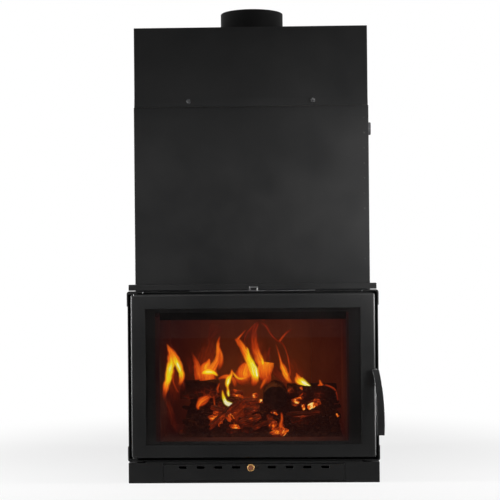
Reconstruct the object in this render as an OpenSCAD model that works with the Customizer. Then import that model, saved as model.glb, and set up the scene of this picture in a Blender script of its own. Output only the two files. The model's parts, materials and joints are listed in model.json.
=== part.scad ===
// Built-in wood fireplace with a water jacket: a boiler body in a black
// sheet casing, a glazed door hinged on the left, and an ash drawer with an
// air register below it. Millimetres, +Z up, the front faces -Y, and the
// origin is on the floor under the middle of the casing.

/* [Casing] */
// Width of the lower casing across its side panels
casing_w = 714; // [700:1:724]
// Depth of the lower casing from its front panel to its rear panel
casing_d = 494; // [470:1:560]
// Height of the seam between the lower casing and the top section
seam_z = 1140; // [1080:1:1200]
// Height of the top section, from the seam up
top_section_h = 242; // [200:1:300]
// Thickness of the casing sheets
casing_t = 3; // [2:0.5:3.5]
// Width that the top section is narrower than the lower casing
top_step = 4; // [2:0.5:6]
// Height of the bent band along the foot of the cleaning cover
band_h = 29; // [24:1:36]
// How far the band stands out at its foot
band_out = 6; // [4:0.5:9]

/* [Flue] */
// Outside diameter of the flue collar
collar_od = 200; // [150:1:220]
// Wall of the flue collar
collar_t = 3; // [2:0.5:5]
// Height of the flue collar above the top section
collar_h = 82; // [60:1:110]

/* [Plinth and ash drawer] */
// Height of the plinth
base_h = 61.5; // [60:0.5:80]
// How far the plinth stands in front of the casing front
base_out = 30; // [24:1:34]
// Sheet thickness of the plinth and of the drawer front
base_t = 3; // [2:0.5:4]
// Width of the ash drawer front
drawer_w = 546; // [500:1:570]
// Gap round the ash drawer front
drawer_gap = 1.5; // [1:0.25:2.5]
// Height of the plinth strip under the drawer front
drawer_foot = 5.5; // [4.5:0.5:7]
// Length of the ash pan from front to rear
pan_len = 464; // [380:1:480]
// Height of the ash pan
pan_h = 27; // [20:1:28]
// Sheet thickness of the ash pan
pan_t = 2; // [1:0.5:2.5]
// Number of air slots in the drawer front
slot_n = 9; // [5:2:9]
// Length of one air slot
slot_l = 24; // [18:1:30]
// Height of one air slot
slot_h = 7.5; // [6.5:0.5:8.5]
// Distance from one air slot to the next
slot_pitch = 53.7; // [48:0.1:58]
// Distance from the drawer front's upper edge to the middle of the air slots
slot_down = 10; // [9:0.5:11]
// Travel of the air register
register_travel = 20; // [10:1:22]
// Place of the brass knob at rest, across from the middle
knob_x = -9.2; // [-14:0.1:-4]
// Radius of the brass knob
knob_r = 11; // [8:0.5:13]

/* [Front frame] */
// How far the frame and the plinth stand out on each side of the casing
frame_over = 22; // [20:0.5:30]
// Height of the fixed frame round the door
frame_h = 512.5; // [480:0.5:560]
// Thickness of the frame's plate
frame_t = 6; // [4:0.5:8]
// Thickness of the frame's rails
rail_t = 3; // [2:0.5:3.5]
// How far the rails stand out from the plate
rail_out = 20; // [16:1:22]
// Radius of the frame's outer corners
frame_r = 6; // [4:0.5:8]
// Thickness of the corner brackets
bracket_t = 2; // [1:0.5:2.5]
// Length of the corner brackets' arms
bracket_arm = 46; // [30:1:60]
// Height of the plate under the firebox mouth
mouth_foot = 47; // [43:1:50]
// Height of the plate over the firebox mouth
mouth_head = 42.5; // [38:0.5:50]
// How far each end of the ledge lies inside the frame's side
ledge_inset = 4; // [0:1:8]
// Gap between the frame and the ledge over it
ledge_gap = 4; // [3:0.5:6]
// Height of the ledge strip
ledge_h = 17.8; // [14:0.1:24]
// How far the ledge stands out from the jacket's front
ledge_out = 30; // [26:1:32]
// How far each end of the sill strip lies inside the frame's side
sill_inset = 51; // [49:1:80]

/* [Door] */
// Gap between the leaf's side and the frame's rail
leaf_side_gap = 7; // [6:0.5:8]
// Gap between the leaf's lower edge and the frame's rail
leaf_foot_gap = 7; // [6.5:0.5:9]
// Gap between the leaf's upper edge and the frame's rail
leaf_head_gap = 4.5; // [4:0.5:7]
// Depth of the leaf
leaf_d = 26; // [24:0.5:30]
// Sheet thickness of the leaf
leaf_t = 3; // [2:0.5:3.5]
// Radius of the leaf's front edges
leaf_edge_r = 6; // [4:0.5:7]
// Radius of the leaf's corners
leaf_corner_r = 10; // [8:0.5:14]
// Gap between the leaf's back and the frame's plate
seal_gap = 4; // [3:0.5:6]
// Width of the leaf's face beside and over the window opening
leaf_border = 44; // [43:0.5:60]
// Width of the leaf's face under the window opening
leaf_foot_border = 40; // [39.5:0.5:60]
// Thickness of the glass
glass_t = 4; // [3:0.5:5]
// Thickness of the flat seal in front of the glass
glass_seal_t = 2; // [1:0.5:3]
// Diameter of the rope gasket
rope_d = 11.6; // [10:0.1:11.6]
// Radius of the hinge pins
hinge_pin_r = 5; // [4:0.5:5.5]
// Distance from the leaf's left edge to the hinge axis
hinge_in = 9; // [8:0.5:10]
// Distance from the leaf's front face to the hinge axis
hinge_back = 14; // [13:0.5:15]

/* [Handle] */
// Height of the handle's pivot over the leaf's lower edge
pivot_up = 254.5; // [220:0.5:290]
// Distance from the leaf's front face to the handle's pivot
pivot_back = 8; // [7:0.5:10]
// Height of the blade above the pivot
blade_above = 10.5; // [8:0.5:12]
// Length of the blade below the pivot
blade_below = 182.5; // [150:0.5:200]
// Thickness of the blade
blade_t = 6; // [4:0.5:8]
// How far the blade's outermost line stands in front of the leaf
blade_reach = 50; // [46:1:60]
// Radius of the blade's bow, seen from the side
bow_r = 430; // [380:1:480]
// Radius of the pivot bolt
pivot_r = 4; // [3:0.25:4.5]
// Thickness of the handle's arm
arm_t = 4; // [3:0.25:4.25]
// Depth of the notch in the latch hook
hook_notch = 3; // [2:0.5:4]
// Radius of the keeper pin
keeper_r = 3; // [2:0.25:3.5]

/* [Boiler] */
// Wall of the outer jacket
jacket_t = 4; // [3:0.5:6]
// Wall of the inner firebox shell
shell_t = 5; // [4:0.5:8]
// Water space at the sides of the firebox
water_side = 45; // [35:1:48]
// Water space behind the firebox
water_rear = 45; // [35:1:60]
// Height of the crown sheet over the firebox mouth
crown_over = 24; // [18:1:30]
// Thickness of the tube plates
tube_plate_t = 6; // [5:0.5:8]
// Outside diameter of the fire tubes
tube_d = 60; // [48:1:66]
// Wall of the fire tubes
tube_t = 3; // [2:0.5:4]
// Number of fire tubes in one row
tube_n = 5; // [3:1:5]
// Distance between fire tubes in a row
tube_pitch = 115; // [90:1:125]
// Distance between the two rows of fire tubes
row_pitch = 125; // [90:1:135]
// Radius of the safety coil's tube
coil_r = 8; // [6:0.5:9]
// Distance between the runs of the safety coil
coil_pitch = 60; // [40:1:70]
// Length of the safety coil's straight runs
coil_run = 440; // [300:1:520]

/* [Sockets] */
// Outside radius of the flow and return sockets
socket_r = 20.8; // [18:0.1:24]
// Thread core radius of the flow and return sockets
socket_bore_r = 15.1; // [10:0.1:16]
// How far the flow and return sockets stand out of the casing
socket_out = 27; // [15:1:40]
// Distance from the seam down to the flow socket
flow_down = 43; // [36:1:120]
// Height of the return socket over the boiler's floor
return_up = 84.5; // [50:0.5:200]
// Place of the side sockets from front to rear
socket_y = 60; // [-80:1:120]
// Outside radius of the small sockets at the rear
small_socket_r = 13; // [12:0.1:15]
// Thread core radius of the small sockets
small_bore_r = 9.3; // [7:0.1:10]
// How far the small sockets stand out of the rear panel
small_out = 20; // [12:1:30]

/* [Firebox] */
// Thickness of the side lining
side_lining_t = 15; // [10:1:25]
// Thickness of the rear lining
rear_lining_t = 20; // [15:1:30]
// Half the width of the middle rear lining panel
lining_joint_x = 186; // [120:1:220]
// Gap between the crown sheet and the baffle that lies on the lining
baffle_gap = 35; // [25:1:80]
// Height of the floor plate over the boiler's floor
floor_up = 34.5; // [26:0.5:38]
// Thickness of the floor plate
floor_t = 4; // [3:0.5:6]
// Thickness of the floor bricks
brick_t = 16; // [12:1:20]
// Width of the grate
grate_w = 220; // [160:1:260]
// Length of the grate
grate_l = 170; // [120:1:200]
// Thickness of the baffle
baffle_t = 25; // [20:1:30]
// Length of the baffle from the rear lining forward
baffle_l = 260; // [200:1:300]

/* [Hidden] */
$fn = 64;

// Clearances
fit = 0.05;     // round pin in its hole
slip = 0.3;     // sliding and soft neighbours

// Planes from front to rear
case_front = -casing_d / 2;
case_back = casing_d / 2;
jacket_front = case_front + casing_t;
jacket_back = case_back - casing_t;
plate_front = jacket_front - frame_t;
rail_front = plate_front - rail_out;
leaf_back = plate_front - seal_gap;
leaf_front = leaf_back - leaf_d;
base_front = case_front - base_out;

// Half widths
case_x = casing_w / 2;
jacket_x = case_x - casing_t;
shell_x = jacket_x - jacket_t - water_side;
firebox_x = shell_x - shell_t;
top_x = case_x - top_step / 2;
frame_x = case_x + frame_over;
rail_x = frame_x - rail_t;
leaf_x = rail_x - leaf_side_gap;
base_x = frame_x;
opening_x = leaf_x - leaf_border;
mouth_x = firebox_x;
ledge_x = frame_x - ledge_inset;

// Heights of the front
bottom_plate_t = 4;
frame_foot_gap = 0.5;
shell_z0 = base_h + bottom_plate_t;
frame_z0 = shell_z0 + frame_foot_gap;
frame_z1 = frame_z0 + frame_h;
mouth_z0 = frame_z0 + mouth_foot;
mouth_z1 = frame_z1 - mouth_head;
leaf_z0 = frame_z0 + rail_t + leaf_foot_gap;
leaf_z1 = frame_z1 - rail_t - leaf_head_gap;
opening_z0 = leaf_z0 + leaf_foot_border;
opening_z1 = leaf_z1 - leaf_border;
ledge_z0 = frame_z1 + ledge_gap;
ledge_z1 = ledge_z0 + ledge_h;

// Heights and depths of the boiler
casing_top = seam_z + top_section_h;
collar_top = casing_top + collar_h;
crown_z = mouth_z1 + crown_over;
crown_z1 = crown_z + tube_plate_t;
upper_plate_z = seam_z - tube_plate_t;
shell_back = jacket_back - jacket_t - water_rear;
firebox_back = shell_back - shell_t;
floor_z = shell_z0 + floor_up;
floor_top = floor_z + floor_t;
lining_z1 = crown_z - baffle_gap - baffle_t;
lining_back = firebox_back;
lining_front = firebox_back - rear_lining_t;
brick_top = floor_top + brick_t;

// Boxes and round bars between stated limits
module block(low, high) { translate(low) cube(high - low); }
module rod_x(r, x0, x1, y, z) { translate([x0, y, z]) rotate([0, 90, 0]) cylinder(r = r, h = x1 - x0); }
module rod_y(r, y0, y1, x, z) { translate([x, y0, z]) rotate([-90, 0, 0]) cylinder(r = r, h = y1 - y0); }
module rod_z(r, z0, z1, x, y) { translate([x, y, z0]) cylinder(r = r, h = z1 - z0); }

// Rectangle with round corners, from its low corner to its high corner
module round_rect(low, high, r) {
  translate([low[0] + r, low[1]]) square([high[0] - low[0] - 2 * r, high[1] - low[1]]);
  translate([low[0], low[1] + r]) square([high[0] - low[0], high[1] - low[1] - 2 * r]);
  for (x = [low[0] + r, high[0] - r], z = [low[1] + r, high[1] - r]) translate([x, z]) circle(r = r);
}

// Upright slab with round corners, drawn in X and Z and thick in Y
module upright(x, z0, z1, r, y0, y1) {
  translate([0, y1, 0]) rotate([90, 0, 0]) linear_extrude(y1 - y0) round_rect([-x, z0], [x, z1], r);
}

// Upright frame: the slab less the same slab drawn in by w
module upright_ring(x, z0, z1, r, w, y0, y1) {
  difference() {
    upright(x, z0, z1, r, y0, y1);
    upright(x - w, z0 + w, z1 - w, max(r - w, 1), y0 - 1, y1 + 1);
  }
}

// Plinth and drawer
base_back = case_back;
drawer_x = drawer_w / 2;
drawer_z0 = drawer_foot + drawer_gap;
drawer_z1 = base_h - base_t - drawer_gap;
pan_side_gap = 10;
pan_lift = 2;
pan_x = drawer_x - pan_side_gap;
pan_z0 = drawer_z0 + pan_lift;
pan_z1 = pan_z0 + pan_h;
pan_front = base_front + base_t;
pan_back = pan_front + pan_len;
runner_w = 20;
runner_t = 3;
runner_z1 = pan_z0 - slip;
runner_lip = 15;
register_t = 2;
register_end = 12;
guide_t = 2;
slot_z = drawer_z1 - slot_down;
register_x = (slot_n - 1) / 2 * slot_pitch + slot_l / 2 + register_end;
register_z0 = pan_z1 + guide_t + 2 * slip;
register_z1 = drawer_z1 - guide_t - slip;
register_y0 = pan_front + slip;
register_y1 = register_y0 + register_t;
guide_x = drawer_x - 6;
stem_r = 3;
knob_gap = 1;
knob_y = base_front - knob_gap;
inlay_r = 6.4;
inlay_deep = 1;
inlay_proud = 0.2;
knob_neck_r = 7;
knob_neck_l = 3;
knob_t = 9;
knob_round = 1.5;

// Grate, chute and firebox floor
chute_t = 3;
grate_seat = 6;
grate_mid_y = 35;
grate_x = grate_w / 2;
grate_y0 = grate_mid_y - grate_l / 2;
grate_y1 = grate_mid_y + grate_l / 2;
chute_low = [-grate_x + grate_seat, grate_y0 + grate_seat];
chute_high = [grate_x - grate_seat, grate_y1 - grate_seat];
grate_slot = 9;
grate_bar = 11;
grate_rim = 14;
brick_front = jacket_front + 1;
lining_x = firebox_x - side_lining_t;

// Fire tubes and safety coil
row_mid_y = -45;
tube_spots = [for (i = [0 : tube_n - 1], j = [0, 1])
  [(i - (tube_n - 1) / 2) * tube_pitch, row_mid_y + (j - 0.5) * row_pitch]];
stay_r = 8;
stay_foot = 117;
stay_head = 136;
stay_z = [mouth_z0 + stay_foot, mouth_z1 - stay_head];
stay_side_y = [-150, -20, 110];
stay_rear_x = [-180, 0, 180];
coil_y = row_mid_y + row_pitch / 2 + tube_d / 2 + 60;
coil_down = 300;
coil_z0 = seam_z - coil_down;
coil_runs = 4;
coil_bend = 30;
coil_wall = 1.5;
coil_collar = 6;
coil_end_x = -coil_run / 2 - coil_bend;
coil_z1 = coil_z0 + (coil_runs - 1) * coil_pitch;
sensor_spot = [150, seam_z - 90];
drain_spot = [jacket_x - 104, shell_z0 + 64.5];
flow_z = seam_z - flow_down;
return_z = shell_z0 + return_up;
rear_spots = [[coil_end_x, coil_z0], [coil_end_x, coil_z1], sensor_spot, drain_spot];
side_spots = [flow_z, return_z];
casing_hole_gap = 2;

// Top section
smoke_t = 4;
gasket_t = 2;
flange_w = 40;
band_z = seam_z + band_h;
cover_bolt_x = 189;
cover_bolt_z = seam_z + 16;
cover_bolt_r = 3;
cover_head_r = 5.5;
cover_head_h = 4;
bolt_hole_r = cover_bolt_r + slip;
washer_r = 7;
washer_front = case_front - band_out - 1;
collar_r = collar_od / 2;
collar_flange_w = 16;
collar_flange_t = 3;
collar_foot = 3;
spigot_r = collar_r - 2;
spigot_up = 1;
spigot_lap = 3;

// Front frame details
sill_back = 2;
bracket_front = rail_front - bracket_t;
bracket_depth = 22;
bracket_screw_gap = 4;
bracket_screw_x = frame_x + bracket_t - bracket_arm - bracket_screw_gap;
bracket_screw_r = 1.5;
airwash_t = 2;
airwash_slot_l = 40;
airwash_slot_w = 9;
airwash_slot_x = [-150, 0, 150];
airwash_x = 190;
airwash_z0 = frame_z1 + slip;
airwash_mid_y = (rail_front + plate_front) / 2;
tab_x = 4;
tab_w = 26;
tab_leg = 4;
tab_top = ledge_z0 + 10;
tab_t = 2;
tab_gap = 1;
tab_back = jacket_front - ledge_out - tab_gap;
deflector_t = 2;
deflector_down = 45;
deflector_up = 15;
deflector_z0 = mouth_z1 - deflector_down;
deflector_z1 = mouth_z1 + deflector_up;
deflector_lip = 18;
rivet_x = case_x - 15;
rivet_r = 2.6;
rivet_h = 0.9;
rivet_n = 7;
rivet_pitch = 46;
rivet_top = seam_z - 38;
low_rivet_z = ledge_z1 + 73.7;
side_screw_z = seam_z + 20;
side_screw_y = jacket_front + 12;

// Door
pocket_gap = 13;
return_t = leaf_t;
glass_lap = 10;
seal_w = 8;
pocket_x = opening_x + pocket_gap;
pocket_z0 = opening_z0 - pocket_gap;
pocket_z1 = opening_z1 + pocket_gap;
pocket_r = 4;
groove_in = 7;
groove_wall = 2;
groove_w = 12;
groove_deep = 8;
groove_out = groove_in + groove_w + groove_wall;
leaf_inner_y = leaf_front + leaf_t;
glass_y0 = leaf_inner_y + glass_seal_t;
glass_y1 = glass_y0 + glass_t;
glass_x = opening_x + glass_lap;
clip_l = 30;
clip_t = 2;
clip_lap = 11;
clip_deep = 12;
clip_z = [220, 420];
clip_x = [-180, 180];
clip_screw_r = 3.5;
rope_r = rope_d / 2;
rope_y = plate_front - slip - rope_r;
rope_in = groove_in + groove_w / 2;
rope_bend = pocket_r + rope_in;
hinge_x = -leaf_x + hinge_in;
hinge_y = leaf_front + hinge_back;
hinge_plate_w = 26;
hinge_ahead = 10;
top_hinge_gap = 0.8;
washer_t = 2.7;
washer_od_r = 8;
top_pin_z0 = leaf_z1 - 9;
low_pin_z1 = leaf_z0 + 5;
pivot_block_w = 16;

// Handle
pivot_z = leaf_z0 + pivot_up;
pivot_y = leaf_front + pivot_back;
arm_gap = 1;
arm_x0 = leaf_x + arm_gap;
arm_x1 = arm_x0 + arm_t;
boss_x0 = leaf_x - 7.5;
boss_x1 = arm_x0 - slip;
boss_h = 12;
boss_proud = 1.2;
boss_back = leaf_front + 18;
stop_z = pivot_z - 33;
stop_r = 3.5;
pivot_head_r = 7;
pivot_head_t = 1.2;
arm_r = 8;
hook_top = pivot_z + 3.5;
hook_foot = pivot_z - 6.5;
hook_back = leaf_back + 0.6;
nose_l = 3;
notch_l = 7.5;
keeper_gap = 0.4;
keeper_y = hook_back - nose_l - notch_l / 2;
keeper_z = hook_top + keeper_gap + keeper_r;
bow_y = leaf_front - blade_reach + bow_r;
bow_down = 160;
bow_z = pivot_z - bow_down;
bow_in = bow_r - blade_t;
blade_z0 = pivot_z - blade_below;
blade_z1 = pivot_z + blade_above;
blade_in = 1;
blade_over = 23;
blade_x0 = leaf_x - blade_in;
blade_x1 = leaf_x + blade_over;
blade_spare = 20;
right_edge_r = 758;
right_edge_up = 49;
right_edge_z = blade_z0 + right_edge_up;
left_edge_r = 677;
left_edge_up = 82;
left_edge_z = blade_z0 + left_edge_up;
arc_fn = 360;

// Fuel: a heap of embers that is wider at the right, and three logs on it
bed_z0 = brick_top;
bed_h = 102;
bed_top = bed_z0 + bed_h;
bed_foot_h = 6;
bed_left_gap = 50;
bed_right_gap = 10;
bed_left = lining_x - bed_left_gap;
bed_right = lining_x - bed_right_gap;
bed_foot_y = [-150, 150];
bed_step_down = 38;
bed_step_y = [-30, 90];
bed_step_in = 10;
bed_crest_y = [0, 70];
bed_crest_in = [15, 25];
bed_skin = 2;
log_gap = 0.3;
split_size = [130, 66, 60];
split_in = 105;
split_spot = [-lining_x + split_in, 20];
split_turn = 6;
cross_r = 37;
cross_l = 185;
cross_spot = [62, 17.5, 10];
side_r = 29;
side_l = 163;
side_in = 21;
side_spot = [lining_x - side_l - side_in, 20, 21];

black = "#2c2c2e";
dark = "#1d1d1f";
steel = "#8d9093";
boiler = "#5a5c60";
lining = "#8a6a52";

module base_plinth() {
  color(black) difference() {
    block([-base_x, base_front, 0], [base_x, base_back, base_h]);
    block([-base_x + base_t, base_front + base_t, -1], [base_x - base_t, base_back - base_t,
      base_h - base_t]);
    block([-drawer_x - drawer_gap, base_front - 1, drawer_foot],
      [drawer_x + drawer_gap, base_front + base_t + 1, base_h - base_t]);
    block([chute_low[0], chute_low[1], base_h - base_t - 1], [chute_high[0], chute_high[1], base_h + 1]);
  }
}

module base_floor() {
  color(dark) block([-base_x + base_t, base_front + base_t, 0], [base_x - base_t, base_back - base_t,
    base_t]);
}

module drawer_runners() {
  color(steel) for (side = [-1, 1]) scale_side(side) {
    block([pan_x - runner_w, pan_front + 2, base_t], [pan_x + slip + runner_t, pan_back + 20, runner_z1]);
    block([pan_x + slip, pan_front + 2, base_t], [pan_x + slip + runner_t, pan_back + 20,
      pan_z0 + runner_lip]);
  }
}

// Draws its children on the right (1) or mirrored to the left (-1)
module scale_side(side) { if (side > 0) children(); else mirror([1, 0, 0]) children(); }

module ash_drawer_front() {
  color(black) difference() {
    block([-drawer_x, base_front, drawer_z0], [drawer_x, pan_front, drawer_z1]);
    for (i = [0 : slot_n - 1]) {
      middle = i == (slot_n - 1) / 2;
      x = (i - (slot_n - 1) / 2) * slot_pitch;
      x0 = middle ? knob_x - stem_r - slip : x - slot_l / 2;
      x1 = middle ? knob_x + register_travel + stem_r + slip : x + slot_l / 2;
      block([x0, base_front - 1, slot_z - slot_h / 2], [x1, pan_front + 1, slot_z + slot_h / 2]);
    }
  }
}

module ash_pan() {
  color(steel) difference() {
    block([-pan_x, pan_front, pan_z0], [pan_x, pan_back, pan_z1]);
    block([-pan_x + pan_t, pan_front + pan_t, pan_z0 + pan_t], [pan_x - pan_t, pan_back - pan_t,
      pan_z1 + 1]);
  }
}

// Two strips that hold the register against the drawer front
module register_guides() {
  lip_y = register_y1 + slip;
  color(steel) {
    block([-guide_x, pan_front, pan_z1 + slip], [guide_x, lip_y + guide_t, register_z0 - slip]);
    block([-guide_x, lip_y, pan_z1 + slip], [guide_x, lip_y + guide_t, register_z0 + guide_t]);
    block([-guide_x, pan_front, register_z1 + slip], [guide_x, lip_y + guide_t, drawer_z1]);
    block([-guide_x, lip_y, register_z1 - guide_t], [guide_x, lip_y + guide_t, drawer_z1]);
  }
}

module air_register() {
  color(steel) {
    difference() {
      block([-register_x, register_y0, register_z0], [register_x, register_y1, register_z1]);
      for (i = [0 : slot_n - 1]) if (i != (slot_n - 1) / 2) {
        x = (i - (slot_n - 1) / 2) * slot_pitch;
        block([x - slot_l / 2, register_y0 - 1, slot_z - slot_h / 2], [x + slot_l / 2, register_y1 + 1,
          slot_z + slot_h / 2]);
      }
    }
    rod_y(stem_r, knob_y, register_y0 + 1, knob_x, slot_z);
  }
}

module register_knob() {
  color("#b98a3c") translate([knob_x, knob_y, slot_z]) rotate([90, 0, 0]) rotate_extrude()
    polygon([[0, 0], [knob_neck_r, 0], [knob_neck_r, knob_neck_l], [knob_r - 1, knob_neck_l],
      [knob_r, knob_neck_l + 1], [knob_r, knob_t - knob_round], [knob_r - knob_round, knob_t],
      [inlay_r, knob_t], [inlay_r, knob_t - inlay_deep], [0, knob_t - inlay_deep]]);
}

module knob_inlay() {
  color("#6a3a22") rod_y(inlay_r - fit, knob_y - knob_t - inlay_proud, knob_y - knob_t + inlay_deep,
    knob_x, slot_z);
}

module sill_strip() {
  color(black) block([-frame_x + sill_inset, base_front + sill_back, base_h],
    [frame_x - sill_inset, jacket_front, shell_z0]);
}

module front_frame() {
  color(black) difference() {
    union() {
      upright(frame_x, frame_z0, frame_z1, frame_r, plate_front, jacket_front);
      upright_ring(frame_x, frame_z0, frame_z1, frame_r, rail_t, rail_front, jacket_front);
    }
    block([-mouth_x, plate_front - 1, mouth_z0], [mouth_x, jacket_front + 1, mouth_z1]);
    for (x = airwash_slot_x)
      block([x - airwash_slot_l / 2, airwash_mid_y - airwash_slot_w / 2, frame_z1 - rail_t - 1],
        [x + airwash_slot_l / 2, airwash_mid_y + airwash_slot_w / 2, frame_z1 + 1]);
  }
}

// Bent brackets round the four corners of the frame, with a lip over its front edge
module corner_brackets() {
  x = frame_x + bracket_t;
  z0 = frame_z0 - bracket_t;
  z1 = frame_z1 + bracket_t;
  y0 = bracket_front;
  y1 = bracket_front + bracket_depth;
  color(black) for (side = [-1, 1], top = [0, 1]) scale_side(side) intersection() {
    union() {
      upright_ring(x, z0, z1, frame_r + bracket_t, bracket_t, y0, y1);
      upright_ring(x, z0, z1, frame_r + bracket_t, bracket_t + rail_t, y0, rail_front);
    }
    block([x - bracket_arm, y0 - 1, top ? z1 - bracket_arm : z0 - 1], [x + 1, y1 + 1,
      top ? z1 + 1 : z0 + bracket_arm]);
  }
}

module bracket_screws() {
  color(steel) for (side = [-1, 1])
    rod_y(bracket_screw_r, rail_front - bracket_screw_r, rail_front, side * bracket_screw_x,
      frame_z1 - rail_t / 2);
}

module top_ledge() {
  color(black) difference() {
    block([-ledge_x, jacket_front - ledge_out, ledge_z0], [ledge_x, jacket_front, ledge_z1]);
    block([-ledge_x + casing_t, jacket_front - ledge_out + casing_t, ledge_z0 - 1],
      [ledge_x - casing_t, jacket_front + 1, ledge_z1 - casing_t]);
  }
}

// Slotted strip on top of the frame, moved by a tab that is bent up before the ledge
module airwash_slide() {
  z1 = airwash_z0 + airwash_t;
  color(steel) {
    difference() {
      block([-airwash_x, rail_front - 2, airwash_z0], [airwash_x, plate_front, z1]);
      for (x = airwash_slot_x)
        block([x - airwash_slot_l / 2, airwash_mid_y - airwash_slot_w / 2, airwash_z0 - 1],
          [x + airwash_slot_l / 2, airwash_mid_y + airwash_slot_w / 2, z1 + 1]);
    }
    block([tab_x - tab_w / 2, tab_back - tab_t, airwash_z0], [tab_x + tab_w / 2, rail_front, z1]);
    difference() {
      block([tab_x - tab_w / 2, tab_back - tab_t, airwash_z0], [tab_x + tab_w / 2, tab_back, tab_top]);
      block([tab_x - tab_w / 2 + tab_leg, tab_back - tab_t - 1, z1], [tab_x + tab_w / 2 - tab_leg,
        tab_back + 1, tab_top - tab_leg]);
    }
  }
}

module airwash_deflector() {
  x = lining_x - 1;
  color(dark) {
    block([-x, jacket_front, deflector_z0], [x, jacket_front + deflector_t, deflector_z1]);
    block([-x, jacket_front, deflector_z0], [x, jacket_front + deflector_lip, deflector_z0 + deflector_t]);
  }
}

module casing_front() {
  color(black) block([-case_x, case_front, ledge_z1], [case_x, jacket_front, seam_z]);
}

module casing_sides() {
  color(black) difference() {
    for (side = [-1, 1]) scale_side(side)
      block([jacket_x, jacket_front, base_h], [case_x, jacket_back, seam_z]);
    for (z = side_spots) rod_x(socket_r + casing_hole_gap, jacket_x - 1, case_x + 1, socket_y, z);
  }
}

module casing_rear() {
  color(black) difference() {
    block([-case_x, jacket_back, base_h], [case_x, case_back, seam_z]);
    for (s = rear_spots) rod_y(small_socket_r + casing_hole_gap, jacket_back - 1, case_back + 1, s[0],
      s[1]);
  }
}

// Rivets down the right margin of the front panel, and one screw on the left of the cover
module casing_rivets() {
  color(dark) {
    for (i = [0 : rivet_n - 1]) rod_y(rivet_r, case_front - rivet_h, case_front, rivet_x,
      rivet_top - i * rivet_pitch);
    rod_y(rivet_r, case_front - rivet_h, case_front, rivet_x, low_rivet_z);
    rod_x(rivet_r + 1, -top_x - rivet_h - 1, -top_x, side_screw_y, side_screw_z);
  }
}

module cover_holes(r) {
  for (side = [-1, 1]) rod_y(r, case_front - band_out - 1, jacket_front + gasket_t + smoke_t + 1,
    side * cover_bolt_x, cover_bolt_z);
}

// Front ring of the smoke box, which the gasket and the cover close
module cover_flange(y0, y1) {
  difference() {
    block([-top_x + smoke_t, y0, seam_z], [top_x - smoke_t, y1, casing_top - smoke_t]);
    block([-top_x + smoke_t + flange_w, y0 - 1, seam_z + flange_w],
      [top_x - smoke_t - flange_w, y1 + 1, casing_top - smoke_t - flange_w]);
    cover_holes(bolt_hole_r);
  }
}

module smoke_box() {
  flange_y = jacket_front + gasket_t;
  color(black) {
    difference() {
      block([-top_x, jacket_front, seam_z], [top_x, jacket_back, casing_top]);
      block([-top_x + smoke_t, jacket_front - 1, seam_z - 1], [top_x - smoke_t, jacket_back - smoke_t,
        casing_top - smoke_t]);
      rod_z(spigot_r + fit, casing_top - smoke_t - 1, casing_top + 1, 0, 0);
    }
    cover_flange(flange_y, flange_y + smoke_t);
  }
}

module cleaning_cover() {
  color(black) difference() {
    translate([-top_x, 0, 0]) rotate([90, 0, 90]) linear_extrude(2 * top_x)
      polygon([[jacket_front, casing_top], [case_front, casing_top], [case_front, band_z],
        [case_front - band_out, seam_z], [jacket_front - band_out, seam_z], [jacket_front, band_z]]);
    cover_holes(bolt_hole_r);
  }
}

module cover_gasket() { color("#c9c2b4") cover_flange(jacket_front, jacket_front + gasket_t); }

module cover_bolts() {
  color(steel) for (side = [-1, 1]) {
    rod_y(cover_bolt_r, washer_front, jacket_front + gasket_t + smoke_t + 6, side * cover_bolt_x,
      cover_bolt_z);
    rod_y(cover_head_r, washer_front - cover_head_h, washer_front, side * cover_bolt_x, cover_bolt_z);
  }
}

// Wedge washers that square the bolt heads to the sloping band
module tapered_washers() {
  color(steel) for (side = [-1, 1]) difference() {
    intersection() {
      rod_y(washer_r, washer_front, case_front, side * cover_bolt_x, cover_bolt_z);
      translate([-top_x, 0, 0]) rotate([90, 0, 90]) linear_extrude(2 * top_x)
        polygon([[washer_front, seam_z], [case_front - band_out, seam_z], [case_front, band_z],
          [washer_front, band_z]]);
    }
    rod_y(bolt_hole_r, washer_front - 1, case_front + 1, side * cover_bolt_x, cover_bolt_z);
  }
}

// Collar on a slimmer spigot, so that a flue pipe stops just above the smoke box
module flue_collar() {
  flange_z = casing_top - smoke_t - collar_flange_t;
  spigot_z = casing_top + spigot_up;
  color(black) {
    difference() {
      rod_z(collar_r, spigot_z, collar_top, 0, 0);
      rod_z(collar_r - collar_t, spigot_z - 1, collar_top + 1, 0, 0);
    }
    difference() {
      union() {
        rod_z(spigot_r, flange_z - collar_foot, spigot_z + spigot_lap, 0, 0);
        rod_z(collar_r + collar_flange_w, flange_z, flange_z + collar_flange_t, 0, 0);
      }
      rod_z(spigot_r - collar_t, flange_z - collar_foot - 1, collar_top, 0, 0);
    }
  }
}

// The outer jacket: two side plates, and the rear and front plates welded between them
module jacket_sides() {
  color(boiler) difference() {
    for (side = [-1, 1]) scale_side(side)
      block([jacket_x - jacket_t, jacket_front, shell_z0], [jacket_x, jacket_back, upper_plate_z]);
    for (z = side_spots) rod_x(socket_r + fit, jacket_x - jacket_t - 1, jacket_x + 1, socket_y, z);
  }
}

module jacket_rear() {
  color(boiler) difference() {
    block([-jacket_x + jacket_t, jacket_back - jacket_t, shell_z0], [jacket_x - jacket_t, jacket_back,
      upper_plate_z]);
    for (s = rear_spots) rod_y(small_socket_r + fit, jacket_back - jacket_t - 1, jacket_back + 1, s[0],
      s[1]);
  }
}

module jacket_brow() {
  color(boiler) block([-jacket_x + jacket_t, jacket_front, crown_z], [jacket_x - jacket_t,
    jacket_front + jacket_t, upper_plate_z]);
}

module tube_holes(z0, z1) { for (p = tube_spots) rod_z(tube_d / 2 + fit, z0 - 1, z1 + 1, p[0], p[1]); }

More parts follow.
